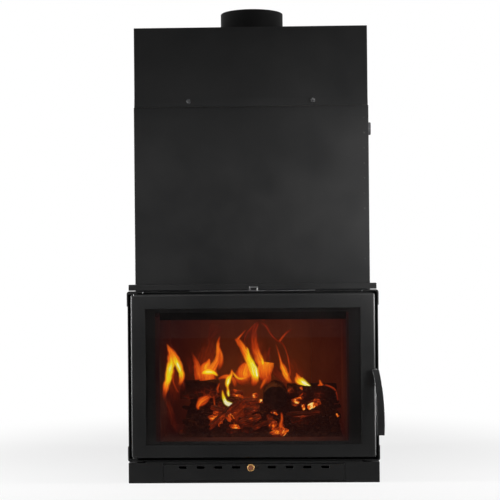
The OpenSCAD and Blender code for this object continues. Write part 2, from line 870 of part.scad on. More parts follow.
module firebox_shell() {
  color(boiler) difference() {
    union() {
      difference() {
        block([-shell_x, jacket_front, shell_z0], [shell_x, shell_back, crown_z]);
        block([-firebox_x, jacket_front - 1, shell_z0 - 1], [firebox_x, firebox_back, crown_z + 1]);
      }
      block([-shell_x, jacket_front + jacket_t, crown_z], [shell_x, shell_back, crown_z1]);
    }
    tube_holes(crown_z, crown_z1);
  }
}

module upper_tube_plate() {
  color(boiler) difference() {
    block([-jacket_x, jacket_front, upper_plate_z], [jacket_x, jacket_back, seam_z]);
    tube_holes(upper_plate_z, seam_z);
  }
}

module fire_tubes() {
  color(steel) for (p = tube_spots) difference() {
    rod_z(tube_d / 2, crown_z, seam_z, p[0], p[1]);
    rod_z(tube_d / 2 - tube_t, crown_z - 1, seam_z + 1, p[0], p[1]);
  }
}

// Stays that tie the firebox walls to the outer jacket
module stay_bolts() {
  color(steel) for (z = stay_z) {
    for (y = stay_side_y, side = [-1, 1]) scale_side(side) rod_x(stay_r, shell_x, jacket_x - jacket_t,
      y, z);
    for (x = stay_rear_x) rod_y(stay_r, shell_back, jacket_back - jacket_t, x, z);
  }
}

// Coil of straight runs and bends in the hot water over the crown
module coil_form(r) {
  for (i = [0 : coil_runs - 1]) rod_x(r, -coil_run / 2, coil_run / 2, coil_y, coil_z0 + i * coil_pitch);
  for (i = [0 : coil_runs - 2]) {
    side = i % 2 == 0 ? 1 : -1;
    translate([side * coil_run / 2, coil_y, coil_z0 + (i + 0.5) * coil_pitch])
      rotate([90, 0, 0]) rotate([0, 0, -90 * side]) rotate_extrude(angle = 180)
        translate([coil_pitch / 2, 0]) circle(r = r);
  }
  for (z = [coil_z0, coil_z1]) {
    translate([-coil_run / 2, coil_y + coil_bend, z]) rotate([0, 0, 180]) rotate_extrude(angle = 90)
      translate([coil_bend, 0]) circle(r = r);
    rod_y(r, coil_y + coil_bend, jacket_back - jacket_t, coil_end_x, z);
  }
}

module safety_coil() {
  end_y = jacket_back - jacket_t;
  color("#b0703c") difference() {
    union() {
      coil_form(coil_r);
      for (z = [coil_z0, coil_z1]) rod_y(small_socket_r - 1, end_y - coil_collar, end_y, coil_end_x, z);
    }
    coil_form(coil_r - coil_wall);
  }
}

module side_sockets() {
  x0 = jacket_x - jacket_t;
  x1 = case_x + socket_out;
  color(steel) for (z = side_spots) difference() {
    rod_x(socket_r, x0, x1, socket_y, z);
    rod_x(socket_bore_r, x0 - 1, x1 + 1, socket_y, z);
  }
}

module rear_sockets() {
  y0 = jacket_back - jacket_t;
  y1 = case_back + small_out;
  color(steel) for (s = rear_spots) difference() {
    rod_y(small_socket_r, y0, y1, s[0], s[1]);
    rod_y(small_bore_r, y0 - 1, y1 + 1, s[0], s[1]);
  }
}

module bottom_plate() {
  color(boiler) difference() {
    block([-jacket_x, jacket_front, base_h], [jacket_x, jacket_back, shell_z0]);
    block([chute_low[0], chute_low[1], base_h - 1], [chute_high[0], chute_high[1], shell_z0 + 1]);
  }
}

module ash_chute() {
  color(boiler) difference() {
    block([chute_low[0] - chute_t, chute_low[1] - chute_t, shell_z0], [chute_high[0] + chute_t,
      chute_high[1] + chute_t, floor_z]);
    block([chute_low[0], chute_low[1], shell_z0 - 1], [chute_high[0], chute_high[1], floor_z + 1]);
  }
}

module floor_plate() {
  color(boiler) difference() {
    block([-firebox_x, jacket_front, floor_z], [firebox_x, firebox_back, floor_top]);
    block([chute_low[0], chute_low[1], floor_z - 1], [chute_high[0], chute_high[1], floor_top + 1]);
  }
}

module grate() {
  pitch = grate_slot + grate_bar;
  slots = floor((grate_w - 2 * grate_rim) / pitch);
  color("#3a3634") difference() {
    block([-grate_x + slip, grate_y0 + slip, floor_top], [grate_x - slip, grate_y1 - slip, brick_top]);
    for (i = [0 : slots - 1]) {
      x = (i - (slots - 1) / 2) * pitch;
      block([x - grate_slot / 2, grate_y0 + grate_rim, floor_top - 1], [x + grate_slot / 2,
        grate_y1 - grate_rim, brick_top + 1]);
    }
  }
}

module floor_bricks() {
  color(lining) {
    for (side = [-1, 1]) scale_side(side)
      block([grate_x, brick_front, floor_top], [lining_x, lining_front, brick_top]);
    block([-grate_x + slip, brick_front, floor_top], [grate_x - slip, grate_y0, brick_top]);
    block([-grate_x + slip, grate_y1, floor_top], [grate_x - slip, lining_front, brick_top]);
  }
}

module lining_rear() {
  joint = 0.5;
  color(lining) {
    block([-lining_joint_x + joint, lining_front, floor_top], [lining_joint_x - joint, lining_back,
      lining_z1]);
    for (side = [-1, 1]) scale_side(side)
      block([lining_joint_x + joint, lining_front, floor_top], [firebox_x, lining_back, lining_z1]);
  }
}

module lining_sides() {
  color(lining) for (side = [-1, 1]) scale_side(side)
    block([lining_x, brick_front, floor_top], [firebox_x, lining_front, lining_z1]);
}

module baffle() {
  color(lining) block([-firebox_x + slip, lining_front - baffle_l, lining_z1], [firebox_x - slip,
    firebox_back, lining_z1 + baffle_t]);
}

// One squared split log and two round ones, each grown by a gap
module log_forms(grow) {
  split = split_size + 2 * grow * [1, 1, 1];
  translate([split_spot[0], split_spot[1], bed_top + split_size[2] / 2]) rotate([0, 0, split_turn])
    cube(split, center = true);
  rod_y(cross_r + grow, cross_spot[1] - cross_l / 2 - grow, cross_spot[1] + cross_l / 2 + grow,
    cross_spot[0], bed_top + cross_spot[2]);
  rod_x(side_r + grow, side_spot[0] - grow, side_spot[0] + side_l + grow, side_spot[1],
    bed_top + side_spot[2]);
}

module logs() { color("#4a3324") log_forms(0); }

// Heap of embers and ash, hollowed where the logs lie in it
module ember_bed() {
  step_z = bed_top - bed_step_down;
  color("#5a2a18") difference() {
    hull() {
      block([-bed_left, bed_foot_y[0], bed_z0], [bed_right, bed_foot_y[1], bed_z0 + bed_foot_h]);
      block([-bed_left, bed_step_y[0], step_z], [bed_right - bed_step_in, bed_step_y[1],
        step_z + bed_skin]);
      block([-bed_left + bed_crest_in[0], bed_crest_y[0], bed_top - bed_skin],
        [bed_right - bed_crest_in[1], bed_crest_y[1], bed_top]);
    }
    log_forms(log_gap);
  }
}

module leaf_section(low, high) {
  r = leaf_edge_r;
  translate([low + r, leaf_front]) square([high - low - 2 * r, leaf_d]);
  translate([low, leaf_front + r]) square([high - low, leaf_d - r]);
  for (u = [low + r, high - r]) translate([u, leaf_front + r]) circle(r = r);
}

// Leaf's outer form: round corners, and all four front edges rounded
module leaf_envelope() {
  intersection() {
    upright(leaf_x, leaf_z0, leaf_z1, leaf_corner_r, leaf_front, leaf_back);
    translate([0, 0, leaf_z0 - 1]) linear_extrude(leaf_z1 - leaf_z0 + 2) leaf_section(-leaf_x, leaf_x);
    translate([-leaf_x - 1, 0, 0]) rotate([90, 0, 90]) linear_extrude(2 * leaf_x + 2)
      leaf_side_section();
  }
}

module leaf_side_section() {
  r = leaf_edge_r;
  translate([leaf_front, leaf_z0 + r]) square([leaf_d, leaf_z1 - leaf_z0 - 2 * r]);
  translate([leaf_front + r, leaf_z0]) square([leaf_d - r, leaf_z1 - leaf_z0]);
  for (z = [leaf_z0 + r, leaf_z1 - r]) translate([leaf_front + r, z]) circle(r = r);
}

// Space inside the leaf's folded edge
module leaf_void(y1) {
  upright(leaf_x - leaf_t, leaf_z0 + leaf_t, leaf_z1 - leaf_t, leaf_corner_r - leaf_t, leaf_inner_y, y1);
}

// Ring in the door's own outline, from_in to from_in + w outside the glass pocket
module pocket_ring(from_in, w, y0, y1) {
  out = from_in + w;
  upright_ring(pocket_x + out, pocket_z0 - out, pocket_z1 + out, pocket_r + out, w, y0, y1);
}

module boss_blocks() {
  for (z = [pivot_z, stop_z])
    block([boss_x0, leaf_front - boss_proud, z - boss_h / 2], [boss_x1, boss_back, z + boss_h / 2]);
}

module door_leaf() {
  root_y = leaf_inner_y - 0.5;
  color(black) difference() {
    union() {
      difference() {
        leaf_envelope();
        leaf_void(leaf_back + 1);
        block([-opening_x, leaf_front - 1, opening_z0], [opening_x, leaf_back, opening_z1]);
      }
      pocket_ring(0, return_t, root_y, leaf_back - 2);
      pocket_ring(groove_in - groove_wall, groove_wall, root_y, leaf_back - 1);
      pocket_ring(groove_in + groove_w, groove_wall, root_y, leaf_back - 1);
      pocket_ring(groove_in - groove_wall, groove_out - groove_in + groove_wall,
        leaf_back - groove_deep - groove_wall, leaf_back - groove_deep);
    }
    boss_blocks();
    rod_z(hinge_pin_r + fit, top_pin_z0 - 1, leaf_z1 + 1, hinge_x, hinge_y);
    rod_z(hinge_pin_r + fit, leaf_z0 - 1, low_pin_z1 + 1, hinge_x, hinge_y);
  }
}

module door_glass() {
  color([0.1, 0.06, 0.05, 0.4])
    block([-glass_x, glass_y0, opening_z0 - glass_lap], [glass_x, glass_y1, opening_z1 + glass_lap]);
}

module glass_seal() {
  color("#c9c2b4") upright_ring(glass_x, opening_z0 - glass_lap, opening_z1 + glass_lap, 2, seal_w,
    leaf_inner_y, glass_y0);
}

// Clips that hold the glass from inside, each with its screw head
module glass_clips() {
  back = glass_y1 + clip_deep;
  color(steel) {
    for (side = [-1, 1], z = clip_z) scale_side(side) {
      block([pocket_x - clip_lap, glass_y1, z - clip_l / 2], [pocket_x, glass_y1 + clip_t, z + clip_l / 2]);
      block([pocket_x - clip_t, glass_y1, z - clip_l / 2], [pocket_x, back, z + clip_l / 2]);
      rod_x(clip_screw_r, pocket_x - 2 * clip_t, pocket_x - clip_t, (glass_y1 + clip_t + back) / 2, z);
    }
    for (x = clip_x, top = [0, 1]) {
      wall = top ? pocket_z1 : pocket_z0;
      inward = top ? -1 : 1;
      lap = wall + inward * clip_lap;
      foot = wall + inward * clip_t;
      head = wall + inward * 2 * clip_t;
      block([x - clip_l / 2, glass_y1, min(wall, lap)], [x + clip_l / 2, glass_y1 + clip_t, max(wall,
        lap)]);
      block([x - clip_l / 2, glass_y1, min(wall, foot)], [x + clip_l / 2, back, max(wall, foot)]);
      rod_z(clip_screw_r, min(foot, head), max(foot, head), x, (glass_y1 + clip_t + back) / 2);
    }
  }
}

// Rope seal in the leaf's groove: four straight lengths and four bends
module rope_gasket() {
  x = pocket_x + rope_in;
  z0 = pocket_z0 - rope_in;
  z1 = pocket_z1 + rope_in;
  color("#6f6c66") {
    for (side = [-1, 1]) rod_z(rope_r, z0 + rope_bend, z1 - rope_bend, side * x, rope_y);
    for (z = [z0, z1]) rod_x(rope_r, -x + rope_bend, x - rope_bend, rope_y, z);
    for (corner = [[1, 1, 0], [-1, 1, 90], [-1, -1, 180], [1, -1, 270]])
      translate([corner[0] * (x - rope_bend), rope_y, corner[1] > 0 ? z1 - rope_bend : z0 + rope_bend])
        rotate([90, 0, 0]) rotate([0, 0, corner[2]]) rotate_extrude(angle = 90)
          translate([rope_bend, 0]) circle(r = rope_r);
  }
}

// Blocks in the leaf's left corners that turn on the hinge pins
module pivot_blocks() {
  groove_top = pocket_z1 + groove_out;
  groove_foot = pocket_z0 - groove_out;
  color(steel) difference() {
    intersection() {
      leaf_void(leaf_back - 1);
      union() {
        block([-leaf_x, leaf_front, groove_top], [-leaf_x + leaf_t + pivot_block_w, leaf_back, leaf_z1]);
        block([-leaf_x, leaf_front, leaf_z0], [-leaf_x + leaf_t + pivot_block_w, leaf_back, groove_foot]);
      }
    }
    rod_z(hinge_pin_r + fit, leaf_z0 - 1, leaf_z1 + 1, hinge_x, hinge_y);
  }
}

module hinge_brackets() {
  top_z = frame_z1 - rail_t;
  low_z = frame_z0 + rail_t;
  ahead_y = hinge_y - hinge_ahead;
  inner_x = -rail_x + hinge_plate_w;
  color(black) difference() {
    intersection() {
      upright(rail_x, low_z, top_z, frame_r - rail_t, ahead_y, plate_front);
      union() {
        block([-rail_x, ahead_y, leaf_z1 + top_hinge_gap], [inner_x, plate_front, top_z]);
        block([-rail_x, ahead_y, low_z], [inner_x, plate_front, leaf_z0 - washer_t - slip]);
      }
    }
    rod_z(hinge_pin_r + fit, low_z - 1, top_z + 1, hinge_x, hinge_y);
  }
}

module hinge_washer() {
  color("#b98a3c") difference() {
    rod_z(washer_od_r, leaf_z0 - washer_t - slip, leaf_z0 - slip, hinge_x, hinge_y);
    rod_z(hinge_pin_r + fit, leaf_z0 - washer_t - 1, leaf_z0 + 1, hinge_x, hinge_y);
  }
}

module hinge_pins() {
  color(steel) {
    rod_z(hinge_pin_r, top_pin_z0, frame_z1 - rail_t, hinge_x, hinge_y);
    rod_z(hinge_pin_r, frame_z0 + rail_t, low_pin_z1, hinge_x, hinge_y);
  }
}

module latch_keeper() {
  color(steel) rod_x(keeper_r, leaf_x + arm_gap, rail_x, keeper_y, keeper_z);
}

// Bosses on the leaf's edge: the upper one holds the pivot, the lower one the stop
module handle_bosses() {
  color(dark) {
    difference() {
      boss_blocks();
      rod_x(pivot_r + fit, boss_x0 - 1, boss_x1 + 1, pivot_y, pivot_z);
    }
    rod_x(stop_r, boss_x1 - 1, arm_x1, pivot_y, stop_z);
  }
}

module handle_pivot() {
  color(steel) {
    rod_x(pivot_r, boss_x0, arm_x1 + slip, pivot_y, pivot_z);
    rod_x(pivot_head_r, arm_x1 + slip, arm_x1 + slip + pivot_head_t, pivot_y, pivot_z);
  }
}

// Side plate of the handle: pivot eye, latch hook to the rear, web to the blade
module handle_arm() {
  tongue_y = pivot_y - stop_r - slip;
  reach_y = pivot_y - 2 * blade_reach;
  color(dark) difference() {
    translate([arm_x0, 0, 0]) rotate([90, 0, 90]) linear_extrude(arm_t) {
      translate([pivot_y, pivot_z]) circle(r = arm_r);
      difference() {
        translate([pivot_y, hook_foot]) square([hook_back - pivot_y, hook_top - hook_foot]);
        translate([hook_back - nose_l - notch_l, hook_top - hook_notch]) square([notch_l, hook_notch + 1]);
      }
      intersection() {
        translate([bow_y, bow_z]) circle(r = bow_in, $fn = arc_fn);
        polygon([[pivot_y, pivot_z + arm_r], [reach_y, pivot_z + arm_r], [reach_y, stop_z - boss_h / 2],
          [tongue_y, stop_z - boss_h / 2], [tongue_y, pivot_z], [pivot_y, pivot_z]]);
      }
    }
    rod_x(pivot_r + fit, arm_x0 - 1, arm_x1 + 1, pivot_y, pivot_z);
  }
}

// Curved blade: a bowed band seen from the side, cut to its outline seen from the front
module handle_blade() {
  color(dark) intersection() {
    translate([blade_x0 - blade_spare, 0, 0]) rotate([90, 0,
      90]) linear_extrude(blade_x1 - blade_x0 + 2 * blade_spare) difference() {
      translate([bow_y, bow_z]) circle(r = bow_r, $fn = arc_fn);
      translate([bow_y, bow_z]) circle(r = bow_in, $fn = arc_fn);
    }
    translate([0, pivot_y, 0]) rotate([90, 0, 0]) linear_extrude(2 * blade_reach) difference() {
      intersection() {
        translate([blade_x1 - right_edge_r, right_edge_z]) circle(r = right_edge_r, $fn = arc_fn);
        translate([blade_x0 - blade_spare, blade_z0]) square([3 * blade_spare, blade_z1 - blade_z0]);
      }
      translate([blade_x0 - left_edge_r, left_edge_z]) circle(r = left_edge_r, $fn = arc_fn);
      translate([blade_x0 - blade_spare - 1, blade_z0 - 1]) square([blade_spare + 1,
        left_edge_z - blade_z0 + 1]);
    }
  }
}

base_plinth();
base_floor();
drawer_runners();
ash_drawer_front();
ash_pan();
register_guides();
air_register();
register_knob();
knob_inlay();
sill_strip();
front_frame();
corner_brackets();
bracket_screws();
top_ledge();
airwash_slide();
airwash_deflector();
casing_front();
casing_sides();
casing_rear();
casing_rivets();
smoke_box();
cleaning_cover();
cover_gasket();
cover_bolts();
tapered_washers();
flue_collar();
jacket_sides();
jacket_rear();
jacket_brow();
firebox_shell();
upper_tube_plate();
fire_tubes();
stay_bolts();
safety_coil();
side_sockets();
rear_sockets();
bottom_plate();
ash_chute();
floor_plate();
grate();
floor_bricks();
lining_rear();
lining_sides();
baffle();
ember_bed();
logs();
door_leaf();
door_glass();
glass_seal();
glass_clips();
rope_gasket();
pivot_blocks();
hinge_brackets();
hinge_washer();
hinge_pins();
latch_keeper();
handle_bosses();
handle_pivot();
handle_arm();
handle_blade();
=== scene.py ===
import json
import math
import random

import bmesh
import bpy
from mathutils import Matrix, Vector, noise


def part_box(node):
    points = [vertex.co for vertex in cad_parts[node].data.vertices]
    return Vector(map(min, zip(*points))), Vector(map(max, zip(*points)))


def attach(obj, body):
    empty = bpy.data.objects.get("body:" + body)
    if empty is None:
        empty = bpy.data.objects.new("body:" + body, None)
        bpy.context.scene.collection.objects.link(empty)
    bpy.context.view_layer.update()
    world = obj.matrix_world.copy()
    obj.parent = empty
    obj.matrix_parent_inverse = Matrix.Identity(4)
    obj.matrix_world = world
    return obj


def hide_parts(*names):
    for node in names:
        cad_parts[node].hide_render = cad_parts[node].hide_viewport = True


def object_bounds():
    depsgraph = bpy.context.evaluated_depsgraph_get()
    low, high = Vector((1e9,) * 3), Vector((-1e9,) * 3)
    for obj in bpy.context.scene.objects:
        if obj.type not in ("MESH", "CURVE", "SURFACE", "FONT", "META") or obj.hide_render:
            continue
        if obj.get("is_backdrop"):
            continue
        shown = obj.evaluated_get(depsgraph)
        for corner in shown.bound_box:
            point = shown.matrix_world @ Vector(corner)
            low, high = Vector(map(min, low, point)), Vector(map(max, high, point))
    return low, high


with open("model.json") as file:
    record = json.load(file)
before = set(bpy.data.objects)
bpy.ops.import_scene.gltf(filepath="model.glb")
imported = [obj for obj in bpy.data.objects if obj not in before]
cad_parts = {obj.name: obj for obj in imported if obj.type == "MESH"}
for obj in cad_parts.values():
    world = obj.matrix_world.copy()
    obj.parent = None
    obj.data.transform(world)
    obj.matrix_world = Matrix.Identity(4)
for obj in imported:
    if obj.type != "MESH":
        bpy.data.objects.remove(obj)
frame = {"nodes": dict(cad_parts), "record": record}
nodes = frame["nodes"]
cadBox = [list(corner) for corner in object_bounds()]
scene = bpy.context.scene
scene.view_settings.view_transform = "Standard"
bodyOf = {node: body for body, owned in frame["record"]["behaviour"]["bodies"].items() for node in owned}
slotOf = {part["node"]: part["material_slot"] for part in frame["record"]["subparts"]}
print("frame loaded with", len(nodes), "nodes")


# short ways to wire shader nodes
def addNode(tree, kind, inputs=None, **props):
    node = tree.nodes.new("ShaderNode" + kind)
    for key, value in props.items():
        setattr(node, key, value)
    for key, value in (inputs or {}).items():
        if isinstance(value, bpy.types.NodeSocket):
            tree.links.new(value, node.inputs[key])
        else:
            node.inputs[key].default_value = value
    return node


def startMaterial(name, base=(0.5, 0.5, 0.5), rough=0.5, metal=0.0, specular=0.5):
    material = bpy.data.materials.new(name)
    material.use_nodes = True
    tree = material.node_tree
    shader = tree.nodes["Principled BSDF"]
    shader.inputs["Base Color"].default_value = (*base, 1)
    shader.inputs["Roughness"].default_value = rough
    shader.inputs["Metallic"].default_value = metal
    shader.inputs["Specular IOR Level"].default_value = specular
    place = addNode(tree, "TexCoord").outputs["Object"]
    return material, tree, shader, place


def stretched(tree, place, size):
    return addNode(tree, "Mapping", {"Vector": place, "Scale": size}).outputs[0]


def grain(tree, place, scale, detail=3.0, rough=0.6, distort=0.0):
    settings = {"Vector": place, "Scale": scale, "Detail": detail, "Roughness": rough, "Distortion": distort}
    return addNode(tree, "TexNoise", settings).outputs["Fac"]


def gaps(tree, place, scale):
    # distance to the nearest gap between blocks of char
    node = addNode(tree, "TexVoronoi", {"Vector": place, "Scale": scale}, feature="DISTANCE_TO_EDGE")
    return node.outputs["Distance"]


def remap(tree, value, low, high, toLow=0.0, toHigh=1.0, smooth=False):
    settings = {"Value": value, "From Min": low, "From Max": high, "To Min": toLow, "To Max": toHigh}
    kind = "SMOOTHSTEP" if smooth else "LINEAR"
    return addNode(tree, "MapRange", settings, interpolation_type=kind).outputs[0]


def sums(tree, kind, a, b=0.0):
    return addNode(tree, "Math", {0: a, 1: b}, operation=kind).outputs[0]


def mixed(tree, factor, first, second):
    def colour(value):
        return value if isinstance(value, bpy.types.NodeSocket) else (*value, 1)
    settings = {0: factor, 6: colour(first), 7: colour(second)}
    return addNode(tree, "Mix", settings, data_type="RGBA").outputs[2]


def ramp(tree, value, stops):
    node = addNode(tree, "ValToRGB", {"Fac": value})
    elements = node.color_ramp.elements
    while len(elements) < len(stops):
        elements.new(0.5)
    for element, (place, colour) in zip(elements, stops):
        element.position = place
        element.color = (*colour, 1)
    return node.outputs["Color"]


def addBump(tree, shader, height, strength, distance):
    bump = addNode(tree, "Bump", {"Height": height, "Strength": strength, "Distance": distance})
    tree.links.new(bump.outputs[0], shader.inputs["Normal"])


def link(tree, value, shader, socket):
    tree.links.new(value, shader.inputs[socket])


# short ways to make and dress a piece; lengths are in millimetres
def mm(*values):
    return Vector([value / 1000 for value in values])


def newPiece(name, bm, body, material, smooth=35, replaces=()):
    mesh = bpy.data.meshes.new(name)
    bm.normal_update()
    bm.to_mesh(mesh)
    bm.free()
    return dress(bpy.data.objects.new(name, mesh), body, material, smooth, replaces)


def dress(piece, body, material, smooth=35, replaces=()):
    scene.collection.objects.link(piece)
    piece.data.materials.clear()
    piece.data.materials.append(material)
    if smooth:
        piece.data.polygons.foreach_set("use_smooth", [True] * len(piece.data.polygons))
        piece.data.set_sharp_from_angle(angle=math.radians(smooth))
    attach(piece, body)
    if replaces:
        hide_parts(*replaces)
    return piece


mergeReach = {"node": 0.00002, "spun": 0.000002, "flat": 0.5}  # metres, metres and degrees
softRound = {"segments": 2, "angle": 35}


def mergedCopy(node):
    # a CAD node's loose triangles as one clean mesh
    bm = bmesh.new()
    bm.from_mesh(nodes[node].data)
    bmesh.ops.remove_doubles(bm, verts=bm.verts, dist=mergeReach["node"])
    bmesh.ops.dissolve_limit(bm, angle_limit=math.radians(mergeReach["flat"]), verts=bm.verts, edges=bm.edges)
    return bm


def camelCase(node):
    first, *rest = node.split("_")
    return first + "".join(word.capitalize() for word in rest)


def softNode(node, width, material):
    # CAD node with its sharp edges rounded by width, in millimetres
    angle = softRound["angle"]
    piece = newPiece(camelCase(node), mergedCopy(node), bodyOf[node], material, angle, [node])
    edge = piece.modifiers.new("softEdge", "BEVEL")
    edge.width = width / 1000
    edge.segments = softRound["segments"]
    edge.limit_method = "ANGLE"
    edge.angle_limit = math.radians(angle)
    edge.harden_normals = True


def islands(node):
    # low and high corner of each loose part of a CAD node
    bm = mergedCopy(node)
    left = set(bm.verts)
    found = []
    while left:
        stack = [left.pop()]
        part = []
        while stack:
            vert = stack.pop()
            part.append(vert.co.copy())
            for edge in vert.link_edges:
                other = edge.other_vert(vert)
                if other in left:
                    left.remove(other)
                    stack.append(other)
        found.append([Vector([pick(co[axis] for co in part) for axis in range(3)]) for pick in (min, max)])
    bm.free()
    return sorted(found, key=lambda box: tuple(box[0]))


def spun(bm, profile, steps):
    # turns a profile of radius and height, in millimetres, round Z
    verts = [bm.verts.new(mm(radius, 0, height)) for radius, height in profile]
    edges = [bm.edges.new(pair) for pair in zip(verts, verts[1:])]
    bmesh.ops.spin(bm, geom=verts + edges, cent=(0, 0, 0), axis=(0, 0, 1), dvec=(0, 0, 0),
                   angle=math.tau, steps=steps, use_merge=True, use_duplicate=False)
    bmesh.ops.remove_doubles(bm, verts=bm.verts, dist=mergeReach["spun"])


# the camera stands where the photographer stood
cameraSettings = {"place": (0.090, -4.1908, 0.6925), "yaw": 1.40, "pitch": 0.15, "roll": -0.53, "lens": 93.38}
view = bpy.data.objects.new("camera", bpy.data.cameras.new("camera"))
view.data.lens = cameraSettings["lens"]
view.data.sensor_width = 36
view.data.clip_end = 50
turn = [math.radians(cameraSettings[key]) for key in ("yaw", "pitch", "roll")]
view.matrix_world = (Matrix.Translation(cameraSettings["place"]) @ Matrix.Rotation(turn[0], 4, "Z")
                     @ Matrix.Rotation(math.pi / 2 + turn[1], 4, "X") @ Matrix.Rotation(turn[2], 4, "Z"))
scene.collection.objects.link(view)
scene.camera = view

# two boxes for the front, one overhead, and a strip at each side for the edges
lamps = {
    "leftBox": {"place": (-1.9, -1.6, 0.95), "aim": (-0.4, -0.25, 0.8), "size": (0.5, 0.6),
                "power": 1.6, "spread": 36},
    "rightBox": {"place": (1.9, -1.6, 0.95), "aim": (0.6, -0.25, 0.84), "size": (0.5, 0.6),
                 "power": 4.4, "spread": 32},
    "topBox": {"place": (0.2, -1.2, 3.2), "aim": (0, 0, 0.6), "size": (1.6, 1.2), "power": 9, "spread": 180},
    "leftStrip": {"place": (-2.4, -0.36, 0.5), "aim": (0, -0.30, 0.4), "size": (0.16, 1.1),
                  "power": 15, "spread": 60},
    "rightStrip": {"place": (2.4, -0.36, 0.5), "aim": (0, -0.30, 0.4), "size": (0.16, 1.1),
                   "power": 15, "spread": 60},
    "fireGlow": {"place": (-0.02, -0.02, 0.36), "aim": (0, 0, 0), "size": (0.22, 0.1), "power": 0.7,
                 "spread": 180, "colour": (1, 0.32, 0.07)},
}
for name, lamp in lamps.items():
    light = bpy.data.lights.new(name, "AREA")
    light.shape = "RECTANGLE"
    light.size, light.size_y = lamp["size"]
    light.energy = lamp["power"]
    light.spread = math.radians(lamp["spread"])
    light.color = lamp.get("colour", (1, 1, 1))
    holder = bpy.data.objects.new(name, light)
    holder.location = lamp["place"]
    away = Vector(lamp["place"]) - Vector(lamp["aim"])
    holder.rotation_euler = away.to_track_quat("Z", "Y").to_euler()
    scene.collection.objects.link(holder)

# a white room to the camera, dimmer in mirrored rays that run to the front
studio = {"white": 1.0, "fill": 0.33, "front": 0.05, "side": 0.75, "turn": (-0.95, 0.1), "throughPane": 0.012}
world = bpy.data.worlds.new("studio")
scene.world = world
world.use_nodes = True
tree = world.node_tree
tree.nodes.clear()
path = addNode(tree, "LightPath")
across = addNode(tree, "SeparateXYZ", {0: addNode(tree, "TexCoord").outputs["Generated"]})
room = remap(tree, across.outputs["Y"], *studio["turn"], studio["front"], studio["side"], smooth=True)
mirrored = sums(tree, "GREATER_THAN", path.outputs["Glossy Depth"], 0.5)
lit = sums(tree, "GREATER_THAN", path.outputs["Diffuse Depth"], 0.5)
through = mixed(tree, mirrored, [studio["white"]] * 3, room)
through = mixed(tree, lit, through, [studio["throughPane"]] * 3)
through = sums(tree, "MULTIPLY", path.outputs["Is Transmission Ray"], through)
seen = sums(tree, "MAXIMUM", path.outputs["Is Camera Ray"], through)
glossy = sums(tree, "SUBTRACT", path.outputs["Is Glossy Ray"], path.outputs["Is Transmission Ray"])
glossy = sums(tree, "MULTIPLY", glossy, room)
plain = sums(tree, "MULTIPLY", path.outputs["Is Diffuse Ray"], studio["fill"])
level = sums(tree, "MAXIMUM", seen, sums(tree, "MAXIMUM", glossy, plain))
sky = addNode(tree, "Background", {"Color": (1, 1, 1, 1), "Strength": level})
tree.links.new(sky.outputs[0], addNode(tree, "OutputWorld").inputs["Surface"])

# pale floor, white far from the object
floorSettings = {"size": 7.0, "colour": 0.82, "nearShare": 0.72, "near": 0.5, "far": 1.6,
                 "mirrored": (0.45, 0.05), "mirrorReach": (0.5, 1.5)}
bm = bmesh.new()
bmesh.ops.create_grid(bm, x_segments=2, y_segments=2, size=floorSettings["size"])
mesh = bpy.data.meshes.new("floor")
bm.to_mesh(mesh)
bm.free()
floor = bpy.data.objects.new("floor", mesh)
scene.collection.objects.link(floor)
material = bpy.data.materials.new("paleFloor")
material.use_nodes = True
tree = material.node_tree
tree.nodes.clear()
place = addNode(tree, "TexCoord").outputs["Object"]
reach = addNode(tree, "VectorMath", {0: place}, operation="LENGTH").outputs["Value"]
share = remap(tree, reach, floorSettings["near"], floorSettings["far"], floorSettings["nearShare"], 1.0, True)
isCamera = addNode(tree, "LightPath").outputs["Is Camera Ray"]
mirrored = sums(tree, "GREATER_THAN", addNode(tree, "LightPath").outputs["Glossy Depth"], 0.5)
dim = remap(tree, reach, *floorSettings["mirrorReach"], *floorSettings["mirrored"], True)
tone = mixed(tree, mirrored, [floorSettings["colour"]] * 3, dim)
matt = addNode(tree, "BsdfDiffuse", {"Color": tone})
bright = addNode(tree, "Emission", {"Color": (1, 1, 1, 1), "Strength": 1.0})
blend = addNode(tree, "MixShader", {0: sums(tree, "MULTIPLY", share, isCamera), 1: matt.outputs[0],
                                    2: bright.outputs[0]})
tree.links.new(blend.outputs[0], addNode(tree, "OutputMaterial").inputs["Surface"])
floor.data.materials.append(material)
floor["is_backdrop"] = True
print("camera, lamps and floor ready")


# one finish for each material slot of the record, and a few of a node's own
finishes = {}

paintLook = {"dark": (0.0074, 0.0075, 0.0078), "pale": (0.0122, 0.0121, 0.0120), "rough": (0.40, 0.52),
             "grain": 1400, "cloud": 6.0}
paintWear = {"span": (0.3, 0.7), "bump": (0.12, 0.0004)}


def makePaint(name, look, lift=1.0, specular=0.32):
    # lift brightens the colour without a change of its grain
    material, tree, shader, place = startMaterial(name, specular=specular)
    cloud = grain(tree, place, look["cloud"], 4.0)
    fine = grain(tree, place, look["grain"], 2.0)
    shade = mixed(tree, remap(tree, cloud, *paintWear["span"]), [tone * lift for tone in look["dark"]],
                  [tone * lift for tone in look["pale"]])
    link(tree, shade, shader, "Base Color")
    wear = sums(tree, "ADD", sums(tree, "MULTIPLY", cloud, 0.5), sums(tree, "MULTIPLY", fine, 0.5))
    link(tree, remap(tree, wear, *paintWear["span"], *look["rough"]), shader, "Roughness")
    addBump(tree, shader, fine, *paintWear["bump"])
    finishes[name] = material
    return material


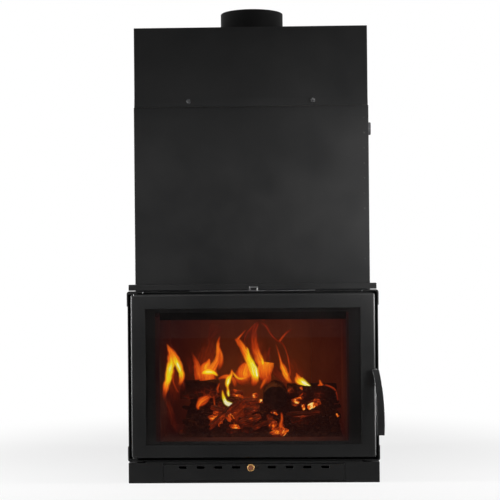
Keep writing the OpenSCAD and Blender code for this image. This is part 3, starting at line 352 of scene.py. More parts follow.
makePaint("black_paint", paintLook)
darkSteel = makePaint("dark_steel", {**paintLook, "rough": (0.30, 0.40), "grain": 900}, 1.3, 0.42)
# painted shade: the collar's paint is darkened to about a third of the body paint's tone
collarPaint = makePaint("collarPaint", {**paintLook, "rough": (0.55, 0.68)}, 0.32, 0.12)
# partly painted highlight: the handle's paint is lightened by a quarter, beside its own glossier finish
handlePaint = makePaint("handlePaint", {**paintLook, "rough": (0.27, 0.37)}, 1.25, 0.85)
sootPlate = makePaint("sootyPlate", {"dark": (0.004, 0.0024, 0.003), "pale": (0.012, 0.007, 0.007),
                                     "rough": (0.7, 0.85), "grain": 500, "cloud": 22}, 1.0, 0.1)
ashDust = makePaint("ashDust", {"dark": (0.05, 0.048, 0.046), "pale": (0.17, 0.165, 0.16), "rough": (0.8, 0.95),
                                "grain": 420, "cloud": 34}, 1.0, 0.15)

# line is the scale of the rolled or brushed lines
steelGrain = {"cloud": (14, 4.0), "stretch": (0.12, 1, 1), "shares": (0.6, 0.4), "span": (0.35, 0.65),
              "roughSpan": (0.3, 0.7), "bump": (0.08, 0.0003)}
steelLooks = {
    "bare_steel": {"dark": (0.20, 0.20, 0.205), "pale": (0.36, 0.36, 0.365), "rough": (0.34, 0.5), "line": 260},
    "bright_steel": {"dark": (0.42, 0.42, 0.43), "pale": (0.62, 0.62, 0.63), "rough": (0.2, 0.32), "line": 300},
    "boiler_plate": {"dark": (0.07, 0.07, 0.075), "pale": (0.14, 0.135, 0.135), "rough": (0.45, 0.62), "line": 90},
    "socket_steel": {"dark": (0.10, 0.10, 0.105), "pale": (0.20, 0.20, 0.205), "rough": (0.4, 0.55), "line": 160},
    "coil_steel": {"dark": (0.35, 0.35, 0.36), "pale": (0.52, 0.52, 0.53), "rough": (0.25, 0.38), "line": 220},
    "knob_brass": {"dark": (0.42, 0.21, 0.06), "pale": (0.74, 0.44, 0.17), "rough": (0.2, 0.32), "line": 420,
                   "metal": 0.5},
    "platedScrew": {"dark": (0.55, 0.55, 0.56), "pale": (0.80, 0.80, 0.80), "rough": (0.25, 0.4), "line": 300,
                    "metal": 0.25},
}
for name, look in steelLooks.items():
    material, tree, shader, place = startMaterial(name, metal=look.get("metal", 1.0))
    cloud = grain(tree, place, *steelGrain["cloud"])
    lines = grain(tree, stretched(tree, place, steelGrain["stretch"]), look["line"])
    cloudShare, lineShare = steelGrain["shares"]
    both = sums(tree, "ADD", sums(tree, "MULTIPLY", cloud, cloudShare), sums(tree, "MULTIPLY", lines, lineShare))
    shade = mixed(tree, remap(tree, both, *steelGrain["span"]), look["dark"], look["pale"])
    link(tree, shade, shader, "Base Color")
    link(tree, remap(tree, lines, *steelGrain["roughSpan"], *look["rough"]), shader, "Roughness")
    addBump(tree, shader, lines, *steelGrain["bump"])
    finishes[name] = material

# grain is the scale and detail of the colour, then of the bump
spottedLooks = {
    "knob_insert": {"dark": (0.17, 0.045, 0.018), "pale": (0.34, 0.11, 0.045), "rough": 0.35, "metal": 0.0,
                    "grain": [(500, 3.0), (900, 3.0)], "bump": (0.15, 0.0003)},
    "grate_iron": {"dark": (0.02, 0.016, 0.014), "pale": (0.09, 0.045, 0.03), "rough": 0.75, "metal": 0.4,
                   "grain": [(60, 5.0), (700, 4.0)], "bump": (0.5, 0.0008)}}
for name, look in spottedLooks.items():
    material, tree, shader, place = startMaterial(name, rough=look["rough"], metal=look["metal"])
    spots, pits = [grain(tree, place, *scale) for scale in look["grain"]]
    link(tree, mixed(tree, spots, look["dark"], look["pale"]), shader, "Base Color")
    addBump(tree, shader, pits, *look["bump"])
    finishes[name] = material

# painted firelight: the lining is given a red-brown glow where it is near the fire
liningLook = {"soot": (0.020, 0.012, 0.010), "board": (0.060, 0.034, 0.024), "sootSpan": (0.35, 0.7),
              "fleck": (240, 4.0), "cloud": (7, 5.0), "upright": (1, 1, 0.45), "bend": 0.6,
              "fire": (0.03, 0.10, 0.31), "near": 0.10, "far": 0.46,
              "cloudGlow": (0.2, 0.8, 0.65, 1.25), "fleckGlow": (0.2, 0.8, 0.85, 1.15),
              "glow": [(0.0, (0.009, 0.0014, 0.0022)), (0.45, (0.032, 0.0042, 0.0024)),
                       (1.0, (0.062, 0.0098, 0.0026))], "bump": (0.5, 0.0012)}
material, tree, shader, place = startMaterial("firebrick", rough=0.92, specular=0.2)
fleck = grain(tree, place, *liningLook["fleck"])
cloud = grain(tree, stretched(tree, place, liningLook["upright"]), *liningLook["cloud"], distort=liningLook["bend"])
shade = mixed(tree, remap(tree, cloud, *liningLook["sootSpan"]), liningLook["soot"], liningLook["board"])
link(tree, shade, shader, "Base Color")
# painted firelight on the lining, strongest near the fire and broken up by the board's cloud and flecks
away = addNode(tree, "VectorMath", {0: place, 1: liningLook["fire"]}, operation="DISTANCE").outputs["Value"]
warm = remap(tree, away, liningLook["near"], liningLook["far"], 1.0, 0.0, True)
warm = sums(tree, "MULTIPLY", warm, remap(tree, cloud, *liningLook["cloudGlow"]))
warm = sums(tree, "MULTIPLY", warm, remap(tree, fleck, *liningLook["fleckGlow"]))
link(tree, ramp(tree, warm, liningLook["glow"]), shader, "Emission Color")
shader.inputs["Emission Strength"].default_value = 1.0
addBump(tree, shader, fleck, *liningLook["bump"])
finishes["firebrick"] = material

weaveLooks = {"fibre_tape": {"pale": (0.42, 0.40, 0.36), "dark": (0.26, 0.24, 0.21), "scale": 900},
              "fibre_rope": {"pale": (0.20, 0.19, 0.17), "dark": (0.09, 0.085, 0.08), "scale": 700}}
weaveBump = (0.6, 0.0008)
for name, look in weaveLooks.items():
    material, tree, shader, place = startMaterial(name, rough=0.95, specular=0.15)
    settings = {"Vector": place, "Scale": look["scale"], "Distortion": 2.0}
    weave = addNode(tree, "TexWave", settings, bands_direction="DIAGONAL").outputs["Fac"]
    link(tree, mixed(tree, weave, look["dark"], look["pale"]), shader, "Base Color")
    addBump(tree, shader, weave, *weaveBump)
    finishes[name] = material

# ceramic glass, a little smoked in patches
paneLook = {"clear": (0.97, 0.93, 0.91), "smoked": (0.86, 0.80, 0.77), "ior": 1.47, "smoke": (7, 4.0),
            "upright": (1, 1, 0.5), "span": (0.4, 0.75)}
material, tree, shader, place = startMaterial("door_pane", rough=0.0)
shader.inputs["Transmission Weight"].default_value = 1.0
shader.inputs["IOR"].default_value = paneLook["ior"]
smoke = grain(tree, stretched(tree, place, paneLook["upright"]), *paneLook["smoke"])
smoke = remap(tree, smoke, *paneLook["span"])
link(tree, mixed(tree, smoke, paneLook["clear"], paneLook["smoked"]), shader, "Base Color")
finishes["door_pane"] = material

# the hinge washer gets the dark steel finish in place of its slot's own, so that it shows dark below the leaf
for name, node in nodes.items():
    if slotOf[name] in finishes:
        for holder in node.material_slots:
            holder.material = darkSteel if name == "hinge_washer" else finishes[slotOf[name]]
print("finishes ready:", len(finishes))


# sheet metal and castings with rounded edges, width in millimetres
softEdges = {"casing_front": 0.6, "casing_sides": 0.8, "casing_rear": 0.8, "base_plinth": 1.2,
             "ash_drawer_front": 0.5, "sill_strip": 0.5, "front_frame": 0.9, "corner_brackets": 0.6,
             "top_ledge": 1.2, "smoke_box": 1.0, "cleaning_cover": 0.8, "door_leaf": 0.6,
             "handle_blade": 1.2, "handle_arm": 0.6, "handle_bosses": 1.0, "airwash_slide": 0.4,
             "airwash_deflector": 0.5, "base_floor": 0.5, "ash_pan": 0.5, "air_register": 0.4,
             "drawer_runners": 0.5, "register_guides": 0.4, "latch_keeper": 0.4, "hinge_brackets": 0.6,
             "handle_pivot": 0.3, "grate": 1.2}
ownFinish = {"airwash_deflector": sootPlate, "ash_pan": ashDust, "air_register": darkSteel,
             "handle_blade": handlePaint}
for node, width in softEdges.items():
    softNode(node, width, ownFinish.get(node, finishes[slotOf[node]]))
print("softened", len(softEdges), "nodes")

# flue collar with a rolled rim
collarLook = {"steps": (96, 64), "flange": [(98, 1375), (116, 1375), (116, 1378), (98, 1378), (98, 1375)],
              "tube": [(98, 1372), (98, 1383), (100, 1383.6), (100, 1461.8), (99.65, 1463.3), (98.8, 1464),
                       (98.2, 1464), (97.35, 1463.3), (97, 1461.8), (97, 1386), (95, 1385.4), (95, 1372), (98, 1372)]}
bm = bmesh.new()
for key, steps in zip(("tube", "flange"), collarLook["steps"]):
    spun(bm, collarLook[key], steps)
bmesh.ops.recalc_face_normals(bm, faces=bm.faces)
newPiece("flueCollar", bm, "root", collarPaint, 40, ["flue_collar"])

toFront = Matrix.Rotation(math.pi / 2, 4, "X")
toRight = Matrix.Rotation(math.pi / 2, 4, "Y")
toLeft = Matrix.Rotation(-math.pi / 2, 4, "Y")
toRear = Matrix.Rotation(-math.pi / 2, 4, "X")


def addTurned(bm, profile, steps, place, turn):
    # a spun form, turned and set at its place, joined to the mesh
    single = bmesh.new()
    spun(single, profile, steps)
    bmesh.ops.transform(single, matrix=Matrix.Translation(place) @ turn, verts=single.verts)
    bmesh.ops.recalc_face_normals(single, faces=single.faces)
    scrap = bpy.data.meshes.new("scrap")
    single.to_mesh(scrap)
    single.free()
    bm.from_mesh(scrap)
    bpy.data.meshes.remove(scrap)


# knob of the air register, brass with a dark wooden inlay
knobLook = {"centre": (-9.2, -278, 47), "steps": 44,
            "body": [(0, 0), (7, 0), (7, 2.6), (7.6, 3), (9.8, 3.1), (10.7, 3.7), (11, 4.6), (11, 6.6), (10.6, 7.9),
                     (9.6, 8.8), (8.4, 9), (7.2, 8.8), (6.6, 8.3), (6.45, 7.9), (6.45, 7.4), (0, 7.4)],
            "inlay": [(0, 7.45), (6.4, 7.45), (6.35, 8.4), (5.4, 8.9), (3.4, 9.1), (0, 9.15)]}
for name, key, finish, node in [("registerKnob", "body", "knob_brass", "register_knob"),
                                ("knobInlay", "inlay", "knob_insert", "knob_inlay")]:
    bm = bmesh.new()
    addTurned(bm, knobLook[key], knobLook["steps"], mm(*knobLook["centre"]), toFront)
    newPiece(name, bm, "air_register", finishes[finish], 50, [node])

# domed heads for the row of rivets and the screw beside it
rivetLook = {"arc": 6, "steps": 20, "sunk": 0.05}
bm = bmesh.new()
for low, high in islands("casing_rivets"):
    middle = (low + high) / 2
    span = (high - low) * 1000
    onSide = span.x < span.y
    radius, proud = span.z / 2, span.x if onSide else span.y
    dome = [(radius * math.cos(step * math.pi / 2 / rivetLook["arc"]),
             proud * math.sin(step * math.pi / 2 / rivetLook["arc"])) for step in range(rivetLook["arc"])]
    base = Vector((high.x, middle.y, middle.z)) if onSide else Vector((middle.x, high.y, middle.z))
    profile = [(0, -rivetLook["sunk"]), (radius, -rivetLook["sunk"])] + dome + [(0, proud)]
    addTurned(bm, profile, rivetLook["steps"], base, toLeft if onSide else toFront)
newPiece("casingRivets", bm, "root", finishes["dark_steel"], 60, ["casing_rivets"])

# hexagon heads of the cover bolts on round shanks
boltLook = {"x": 189, "z": 1156, "front": -258, "back": -254, "reach": 5.45, "edge": 0.8, "steps": 24,
            "sunk": 0.5, "shank": [(0, 0), (3, 0), (3, 20), (2.2, 21), (0, 21)]}
bm = bmesh.new()
for side in (-1, 1):
    depth, reach = (boltLook["back"] - boltLook["front"]) / 1000, boltLook["reach"] / 1000
    made = bmesh.ops.create_cone(bm, cap_ends=True, segments=6, radius1=reach, radius2=reach, depth=depth)
    middle = mm(side * boltLook["x"], (boltLook["back"] + boltLook["front"]) / 2, boltLook["z"])
    bmesh.ops.transform(bm, matrix=Matrix.Translation(middle) @ toFront, verts=made["verts"])
    rim = {edge for vert in made["verts"] for edge in vert.link_edges}
    rim = [edge for edge in rim if all(vert.co.y < middle.y for vert in edge.verts)]
    bmesh.ops.bevel(bm, geom=rim, offset=boltLook["edge"] / 1000, affect="EDGES", segments=2, profile=0.5, material=-1)
    foot = mm(side * boltLook["x"], boltLook["back"] - boltLook["sunk"], boltLook["z"])
    addTurned(bm, boltLook["shank"], boltLook["steps"], foot, toRear)
newPiece("coverBolts", bm, "root", finishes["bright_steel"], 35, ["cover_bolts"])

# low domed screw heads at the top brackets; shares of the radius, and heights
screwLook = {"profile": [(0, -2.2), (1, -2.2), (1, 0), (0.92, 0.22), (0.7, 0.42), (0.4, 0.5), (0, 0.52)],
             "steps": 20, "sunk": 0.5}
bm = bmesh.new()
for low, high in islands("bracket_screws"):
    radius = (high.x - low.x) * 500
    place = Vector(((low.x + high.x) / 2, low.y + screwLook["sunk"] / 1000, (low.z + high.z) / 2))
    profile = [(share * radius, height if height > 0 else height * radius / 3)
               for share, height in screwLook["profile"]]
    addTurned(bm, profile, screwLook["steps"], place, toFront)
newPiece("bracketScrews", bm, "root", finishes["platedScrew"], 50, ["bracket_screws"])

# pipe sockets with a chamfered mouth and the thread's rings inside
socketLooks = {
    "sideSockets": {"node": "side_sockets", "outer": 20.8, "bore": 15.1, "pitch": 2.3, "length": 34,
                    "turn": toRight, "spots": [(350, 60, 1097), (350, 60, 150)]},
    "rearSockets": {"node": "rear_sockets", "outer": 13, "bore": 9.3, "pitch": 1.8, "length": 27, "turn": toRear,
                    "spots": [(-250, 240, 840), (-250, 240, 1020), (150, 240, 1050), (250, 240, 130)]}}
socketMouth = {"start": 1.5, "end": 3, "inner": 1.6, "outer": 1.2, "steps": 48}
for name, look in socketLooks.items():
    bore, outer, pitch, length = [look[key] for key in ("bore", "outer", "pitch", "length")]
    threads, level = [], socketMouth["start"]
    while level < length - socketMouth["end"]:
        threads += [(bore, level), (bore + pitch * 0.5, level + pitch / 2)]
        level += pitch
    profile = [(bore, 0), *threads, (bore, level), (bore + socketMouth["inner"], length),
               (outer - socketMouth["outer"], length), (outer, length - socketMouth["outer"]), (outer, 0), (bore, 0)]
    bm = bmesh.new()
    for spot in look["spots"]:
        addTurned(bm, profile, socketMouth["steps"], mm(*spot), look["turn"])
    newPiece(name, bm, "root", finishes["socket_steel"], 30, [look["node"]])
print("collar, knob, sockets and fasteners ready")


# border printed on the inner face of the glass
printLook = {"left": -295.5, "right": 289.5, "low": 125.5, "high": 515, "corner": 4, "outerX": 334,
             "outerLow": 107, "outerHigh": 536, "outerCorner": 2, "y": -270.95, "thick": 0.1,
             "tone": (0.016, 0.016, 0.0165), "spread": (0.8, 1.2), "grain": 1100, "rough": (0.3, 0.7, 0.36, 0.5)}
material, tree, shader, place = startMaterial("printedBorder", specular=0.3)
speck = grain(tree, place, printLook["grain"])
dark, pale = [[tone * share for tone in printLook["tone"]] for share in printLook["spread"]]
link(tree, mixed(tree, speck, dark, pale), shader, "Base Color")
link(tree, remap(tree, speck, *printLook["rough"]), shader, "Roughness")
finishes["printedBorder"] = material


def roundedLoop(bm, left, right, low, high, radius, y, steps=5):
    verts = []
    for x, z, start in [(right - radius, high - radius, 0), (left + radius, high - radius, 90),
                        (left + radius, low + radius, 180), (right - radius, low + radius, 270)]:
        for step in range(steps + 1):
            angle = math.radians(start + 90 * step / steps)
            verts.append(bm.verts.new(mm(x + radius * math.cos(angle), y, z + radius * math.sin(angle))))
    return [bm.edges.new(pair) for pair in zip(verts, verts[1:] + verts[:1])]


bm = bmesh.new()
loops = roundedLoop(bm, printLook["left"], printLook["right"], printLook["low"], printLook["high"],
                    printLook["corner"], printLook["y"])
loops += roundedLoop(bm, -printLook["outerX"], printLook["outerX"], printLook["outerLow"], printLook["outerHigh"],
                     printLook["outerCorner"], printLook["y"])
bmesh.ops.bridge_loops(bm, edges=loops)
bmesh.ops.recalc_face_normals(bm, faces=bm.faces)
bmesh.ops.solidify(bm, geom=bm.faces[:], thickness=printLook["thick"] / 1000)
bmesh.ops.recalc_face_normals(bm, faces=bm.faces)
newPiece("glassPrint", bm, "door", material, 30)

# door seal: three strands wound along the groove's line
ropeLook = {"strands": 3, "lay": 27, "bend": 17, "perTurn": 10, "thin": 0.46, "play": 0.1}
low, high = [Vector(corner) * 1000 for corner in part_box("rope_gasket")]
ropeRadius = (high.y - low.y) / 2
ropeY = (low.y + high.y) / 2
ropeMiddle = ((low.x + high.x) / 2, (low.z + high.z) / 2)
halfWide, halfHigh = (high.x - low.x) / 2 - ropeRadius, (high.z - low.z) / 2 - ropeRadius


def ropeLine(distance):
    # point and outward direction at a distance along the rounded rectangle
    bend = ropeLook["bend"]
    straightX, straightZ = 2 * (halfWide - bend), 2 * (halfHigh - bend)
    arc = math.pi * bend / 2
    for turn, straight in enumerate((straightX, straightZ, straightX, straightZ)):
        cornerX = (halfWide - bend) * (1, 1, -1, -1)[turn]
        cornerZ = (halfHigh - bend) * (1, -1, -1, 1)[turn]
        start = math.pi / 2 - turn * math.pi / 2
        if distance <= straight:
            out = Vector((math.cos(start), 0, math.sin(start)))
            along = Vector((math.sin(start), 0, -math.cos(start)))
            corner = Vector((cornerX, 0, cornerZ))
            return corner + out * bend + along * (distance - straight), out
        distance -= straight
        if distance <= arc:
            angle = start - distance / bend
            out = Vector((math.cos(angle), 0, math.sin(angle)))
            return Vector((cornerX, 0, cornerZ)) + out * bend, out
        distance -= arc
    return ropeLine(0)


ropeLength = 4 * (halfWide + halfHigh) - 8 * ropeLook["bend"] + math.tau * ropeLook["bend"]
turns = round(ropeLength / ropeLook["lay"])
strandRadius = ropeRadius * ropeLook["thin"]
curve = bpy.data.curves.new("ropeSeal", "CURVE")
curve.dimensions = "3D"
curve.bevel_depth = strandRadius / 1000
curve.bevel_resolution = 1
for strand in range(ropeLook["strands"]):
    count = turns * ropeLook["perTurn"]
    spline = curve.splines.new("POLY")
    spline.points.add(count - 1)
    spline.use_cyclic_u = True
    for step in range(count):
        point, out = ropeLine(ropeLength * step / count)
        angle = math.tau * (turns * step / count + strand / ropeLook["strands"])
        offset = out * math.cos(angle) + Vector((0, 1, 0)) * math.sin(angle)
        offset *= ropeRadius - strandRadius - ropeLook["play"]
        spot = point + offset + Vector((ropeMiddle[0], ropeY, ropeMiddle[1]))
        spline.points[step].co = (*(spot / 1000), 1)
holder = bpy.data.objects.new("scrap", curve)
scene.collection.objects.link(holder)
mesh = bpy.data.meshes.new_from_object(holder.evaluated_get(bpy.context.evaluated_depsgraph_get()))
bpy.data.objects.remove(holder)
dress(bpy.data.objects.new("ropeSeal", mesh), "door", finishes["fibre_rope"], 60, ["rope_gasket"])
print("glass border and rope seal ready")


# embers: char, ash and a glow that follows each point's heat
emberColours = [(0.0, (0.009, 0.0022, 0.0018)), (0.16, (0.022, 0.0036, 0.0020)), (0.36, (0.12, 0.012, 0.0034)),
                (0.56, (0.56, 0.062, 0.006)), (0.74, (0.98, 0.20, 0.012)), (0.90, (1, 0.50, 0.05)),
                (1.0, (1, 0.78, 0.28))]


glowLook = {"finer": 5, "bend": 0.4, "gap": (0.0, 0.12, 1.0, 0.0), "shares": (0.65, 0.35), "toneSpan": (0.42, 0.66),
            "patchy": (0.36, 0.64, 1.16, 0.34), "gapDepth": 0.5, "strength": 0.7}


def makeGlowing(name, dark, pale, blockScale, grainScale, crack, bumpDepth):
    # crack says how much brighter the gaps between the char's blocks glow
    material, tree, shader, place = startMaterial(name, rough=0.94, specular=0.1)
    lump = grain(tree, place, grainScale, 4.0, distort=glowLook["bend"])
    fine = grain(tree, place, grainScale * glowLook["finer"])
    split = gaps(tree, place, blockScale)
    gap = remap(tree, split, *glowLook["gap"], True)
    lumpShare, fineShare = glowLook["shares"]
    tone = sums(tree, "ADD", sums(tree, "MULTIPLY", lump, lumpShare), sums(tree, "MULTIPLY", fine, fineShare))
    link(tree, mixed(tree, remap(tree, tone, *glowLook["toneSpan"]), dark, pale), shader, "Base Color")
    heat = addNode(tree, "Attribute", attribute_name="emberHeat").outputs["Fac"]
    patchy = remap(tree, tone, *glowLook["patchy"])
    glow = sums(tree, "MULTIPLY", heat, sums(tree, "ADD", patchy, sums(tree, "MULTIPLY", gap, crack)))
    link(tree, ramp(tree, glow, emberColours), shader, "Emission Color")
    shader.inputs["Emission Strength"].default_value = 1.0
    height = sums(tree, "SUBTRACT", tone, sums(tree, "MULTIPLY", gap, glowLook["gapDepth"]))
    addBump(tree, shader, height, glowLook["strength"], bumpDepth)
    finishes[name] = material
    return material


embers = makeGlowing("embers", (0.006, 0.0035, 0.003), (0.052, 0.027, 0.018), 46, 60, 0.12, 0.0012)
charred = makeGlowing("charred_wood", (0.0035, 0.0028, 0.0026), (0.036, 0.020, 0.013), 62, 48, 0.6, 0.002)

# hot places of the bed: x, z, reach and heat, seen from the front
hotPlaces = [(-122, 168, 20, 0.62), (-82, 178, 15, 0.66), (-64, 148, 16, 0.58), (56, 150, 16, 0.5),
             (72, 134, 20, 0.62), (62, 184, 8, 0.6), (128, 219, 10, 0.8), (154, 201, 10, 0.72), (180, 205, 12, 0.8),
             (200, 217, 14, 0.5), (142, 226, 14, 0.52), (141, 168, 22, 0.3), (-30, 214, 30, 0.36),
             (-100, 196, 46, 0.26), (-30, 170, 48, 0.26), (-75, 246, 20, 0.34), (18, 222, 12, 0.5), (160, 205, 50, 0.2),
             (-238, 150, 22, 0.34), (60, 150, 60, 0.14), (-10, 120, 50, 0.08)]


bedGlow = {"least": 0.035, "adds": 0.18, "mound": 0.72}


def bedHeat(x, z):
    level = bedGlow["least"]
    for placeX, placeZ, reach, heat in hotPlaces:
        away = ((x - placeX) ** 2 + (z - placeZ) ** 2) / reach ** 2
        level = max(level, heat * math.exp(-away)) + bedGlow["adds"] * heat * math.exp(-away)
    return min(level, 1.0)


# heights of the mound from front to rear, as y and z
bedLook = {"left": -235, "right": 275, "front": -150, "rear": 150, "floor": 120.3, "cuts": (150, 92),
           "heights": [(-150, 126), (-30, 184), (0, 220), (70, 220), (90, 184), (150, 126)],
           "foot": 2, "ends": (34, 0.8), "sunk": 6, "least": 0.5, "rough": (30, 8.0)}


def bedHeight(x, y):
    for (nearY, nearZ), (farY, farZ) in zip(bedLook["heights"], bedLook["heights"][1:]):
        if y <= farY:
            break
    height = nearZ + (farZ - nearZ) * (y - nearY) / (farY - nearY)
    reach, power = bedLook["ends"]
    edge = min(x - bedLook["left"], bedLook["right"] - x) / reach
    share = math.sin(min(max(edge, 0.0), 1.0) * math.pi / 2) ** power
    foot = bedLook["floor"] + bedLook["foot"]
    return foot + (height - foot) * share


def setHeat(bm, level):
    layer = bm.verts.layers.float.get("emberHeat") or bm.verts.layers.float.new("emberHeat")
    for vert in bm.verts:
        vert[layer] = level(vert)


bm = bmesh.new()
bmesh.ops.create_grid(bm, x_segments=bedLook["cuts"][0], y_segments=bedLook["cuts"][1], size=0.5)
lumpSize, rough = bedLook["rough"]
for vert in bm.verts:
    x = bedLook["left"] + (vert.co.x + 0.5) * (bedLook["right"] - bedLook["left"])
    y = bedLook["front"] + (vert.co.y + 0.5) * (bedLook["rear"] - bedLook["front"])
    lumps = noise.fractal(Vector((x, y, 0)) / lumpSize, 1.0, 2.0, 3) * rough
    vert.co = mm(x, y, max(bedHeight(x, y) - bedLook["sunk"] + lumps, bedLook["floor"] + bedLook["least"]))
rim = [edge for edge in bm.edges if edge.is_boundary]
made = bmesh.ops.extrude_edge_only(bm, edges=rim)
skirt = [item for item in made["geom"] if isinstance(item, bmesh.types.BMVert)]
for vert in skirt:
    vert.co.z = bedLook["floor"] / 1000
bmesh.ops.edgeloop_fill(bm, edges=[edge for edge in bm.edges if edge.is_boundary])
bmesh.ops.recalc_face_normals(bm, faces=bm.faces)
setHeat(bm, lambda vert: bedGlow["mound"] * bedHeat(vert.co.x * 1000, vert.co.z * 1000))
newPiece("emberMound", bm, "root", embers, 0, ["ember_bed"])


lumpShape = {"cornerPull": 0.2, "cornerReach": 0.8, "grain": 1.7, "seedStep": (3.7, 1.3, 1)}


def addLump(bm, place, size, turn, jag, seed):
    # a charcoal lump: a cut cube with its corners pushed about
    before = len(bm.verts)
    made = bmesh.ops.create_cube(bm, size=1)
    edges = list({edge for vert in made["verts"] for edge in vert.link_edges})
    bmesh.ops.subdivide_edges(bm, edges=edges, cuts=1, use_grid_fill=True)
    bm.verts.ensure_lookup_table()
    verts = bm.verts[before:]
    matrix = Matrix.Translation(mm(*place)) @ turn @ Matrix.Diagonal((*mm(*size), 1))
    shift = Vector(lumpShape["seedStep"]) * seed
    for vert in verts:
        pull = 1 - lumpShape["cornerPull"] * (vert.co.length > lumpShape["cornerReach"])
        push = noise.noise_vector(vert.co * lumpShape["grain"] + shift) * jag
        vert.co = matrix @ (vert.co * pull + push)
    return verts


# loose charcoal over the whole bed; depth is the nearest, farthest and likeliest place
lumpLook = {"count": 190, "seed": 11, "long": (20, 46), "thick": (12, 22), "jag": 0.2, "sunk": 0.2,
            "left": 16, "right": 14, "depth": (-142, 100, -60), "lean": 0.5, "top": 221, "rest": 0.75,
            "heat": (0.55, 1.25), "under": 1.25, "over": 0.85}
chance = random.Random(lumpLook["seed"])
noise.seed_set(lumpLook["seed"])  # noise_vector is shifted by this seed, and by the clock without one
bm = bmesh.new()
heatLayer = bm.verts.layers.float.new("emberHeat")
for number in range(lumpLook["count"]):
    x = chance.uniform(bedLook["left"] + lumpLook["left"], bedLook["right"] - lumpLook["right"])
    y = chance.triangular(*lumpLook["depth"])
    long = chance.uniform(*lumpLook["long"])
    size = (long, chance.uniform(*lumpLook["thick"]), chance.uniform(*lumpLook["thick"]))
    turn = Matrix.Rotation(chance.uniform(0, math.pi), 4, "Z")
    turn = turn @ Matrix.Rotation(chance.uniform(-lumpLook["lean"], lumpLook["lean"]), 4, "Y")
    z = min(bedHeight(x, y) - size[2] * lumpLook["sunk"], lumpLook["top"] - size[2] / 2)
    z = max(z, bedLook["floor"] + size[2] * lumpLook["rest"])
    heat = bedHeat(x, z) * chance.uniform(*lumpLook["heat"])
    for vert in addLump(bm, (x, y, z), size, turn, lumpLook["jag"], number):
        vert[heatLayer] = heat * lumpLook["under" if vert.co.z * 1000 < z else "over"]
bmesh.ops.recalc_face_normals(bm, faces=bm.faces)
newPiece("charcoalLumps", bm, "root", embers, 25)

# coals that glow right through, and half burnt sticks on the front of the bed
coalLook = {"jag": 0.42, "seed": 40, "hotMiddle": 1.12, "coolEnds": 0.5, "uneven": 0.7, "patch": 0.007,
            "swell": 0.0008, "coals": [
    {"place": (-122, -92, 169), "size": (44, 16, 12), "tilt": -8, "heat": 0.76},
    {"place": (-80, -78, 180), "size": (32, 10, 8), "tilt": -42, "heat": 0.84},
    {"place": (-62, -106, 148), "size": (32, 12, 9), "tilt": -6, "heat": 0.74},
    {"place": (55, -104, 151), "size": (26, 12, 12), "tilt": 34, "heat": 0.62},
    {"place": (66, -138, 134), "size": (30, 10, 8), "tilt": 14, "heat": 0.9},
    {"place": (94, -136, 132), "size": (26, 9, 9), "tilt": 52, "heat": 0.84},
    {"place": (62, -56, 183), "size": (18, 7, 5), "tilt": -14, "heat": 0.74},
    {"place": (129, -28, 217), "size": (21, 9, 8), "tilt": -18, "heat": 1.0},
    {"place": (154, -44, 199), "size": (9, 8, 15), "tilt": 16, "heat": 0.86},
    {"place": (180, -42, 203), "size": (22, 10, 13), "tilt": 24, "heat": 1.05},
    {"place": (199, -32, 214), "size": (18, 10, 22), "tilt": 20, "heat": 0.58},
    {"place": (142, -22, 225), "size": (24, 10, 9), "tilt": 12, "heat": 0.6},
    {"place": (141, -60, 170), "size": (64, 12, 7), "tilt": 12, "heat": 0.42},
    {"place": (17, -42, 221), "size": (12, 6, 6), "tilt": 38, "heat": 0.98},
    {"place": (1, -44, 237), "size": (20, 10, 14), "tilt": 42, "heat": 0.78},
    {"place": (-58, -50, 247), "size": (34, 12, 20), "tilt": -6, "heat": 0.5},
    {"place": (-57, -57, 240), "size": (36, 6, 4), "tilt": -12, "heat": 0.74},
    {"place": (-228, -138, 134), "size": (20, 14, 12), "tilt": 20, "heat": 0.24},
    {"place": (262, -60, 176), "size": (7, 6, 10), "tilt": 30, "heat": 0.8}],
    "sticks": [
    {"from": (-46, -74, 228), "to": (-150, -118, 139), "size": (24, 18), "heat": 0.34, "ribs": 5},
    {"from": (-140, -66, 204), "to": (-62, -72, 186), "size": (20, 17), "heat": 0.36, "ribs": 3},
    {"from": (-40, -84, 222), "to": (4, -62, 224), "size": (24, 20), "heat": 0.36, "ribs": 3},
    {"from": (-48, -110, 160), "to": (18, -92, 178), "size": (34, 22), "heat": 0.34, "ribs": 4},
    {"from": (-32, -92, 190), "to": (14, -74, 206), "size": (30, 20), "heat": 0.32, "ribs": 4},
    {"from": (-10, -122, 142), "to": (46, -104, 162), "size": (18, 14), "heat": 0.3, "ribs": 3},
    {"from": (100, -56, 178), "to": (206, -66, 186), "size": (18, 14), "heat": 0.22, "ribs": 3}]}
bm = bmesh.new()
heatLayer = bm.verts.layers.float.new("emberHeat")
for number, coal in enumerate(coalLook["coals"]):
    turn = Matrix.Rotation(math.radians(-coal["tilt"]), 4, "Y")
    middle, axis = mm(*coal["place"]), turn.to_3x3() @ Vector((1, 0, 0))
    for vert in addLump(bm, coal["place"], coal["size"], turn, coalLook["jag"], coalLook["seed"] + number):
        out = min(abs((vert.co - middle).dot(axis)) * 2000 / coal["size"][0], 1)
        vert[heatLayer] = coal["heat"] * (coalLook["hotMiddle"] - coalLook["coolEnds"] * out * out)
bmesh.ops.subdivide_edges(bm, edges=bm.edges[:], cuts=2, use_grid_fill=True, smooth=0.6)
for vert in bm.verts:
    patch = noise.noise(vert.co / coalLook["patch"])
    vert[heatLayer] *= 1 + coalLook["uneven"] * patch
    vert.co += vert.normal * patch * coalLook["swell"]
bmesh.ops.recalc_face_normals(bm, faces=bm.faces)
newPiece("glowingCoals", bm, "root", embers, 50)

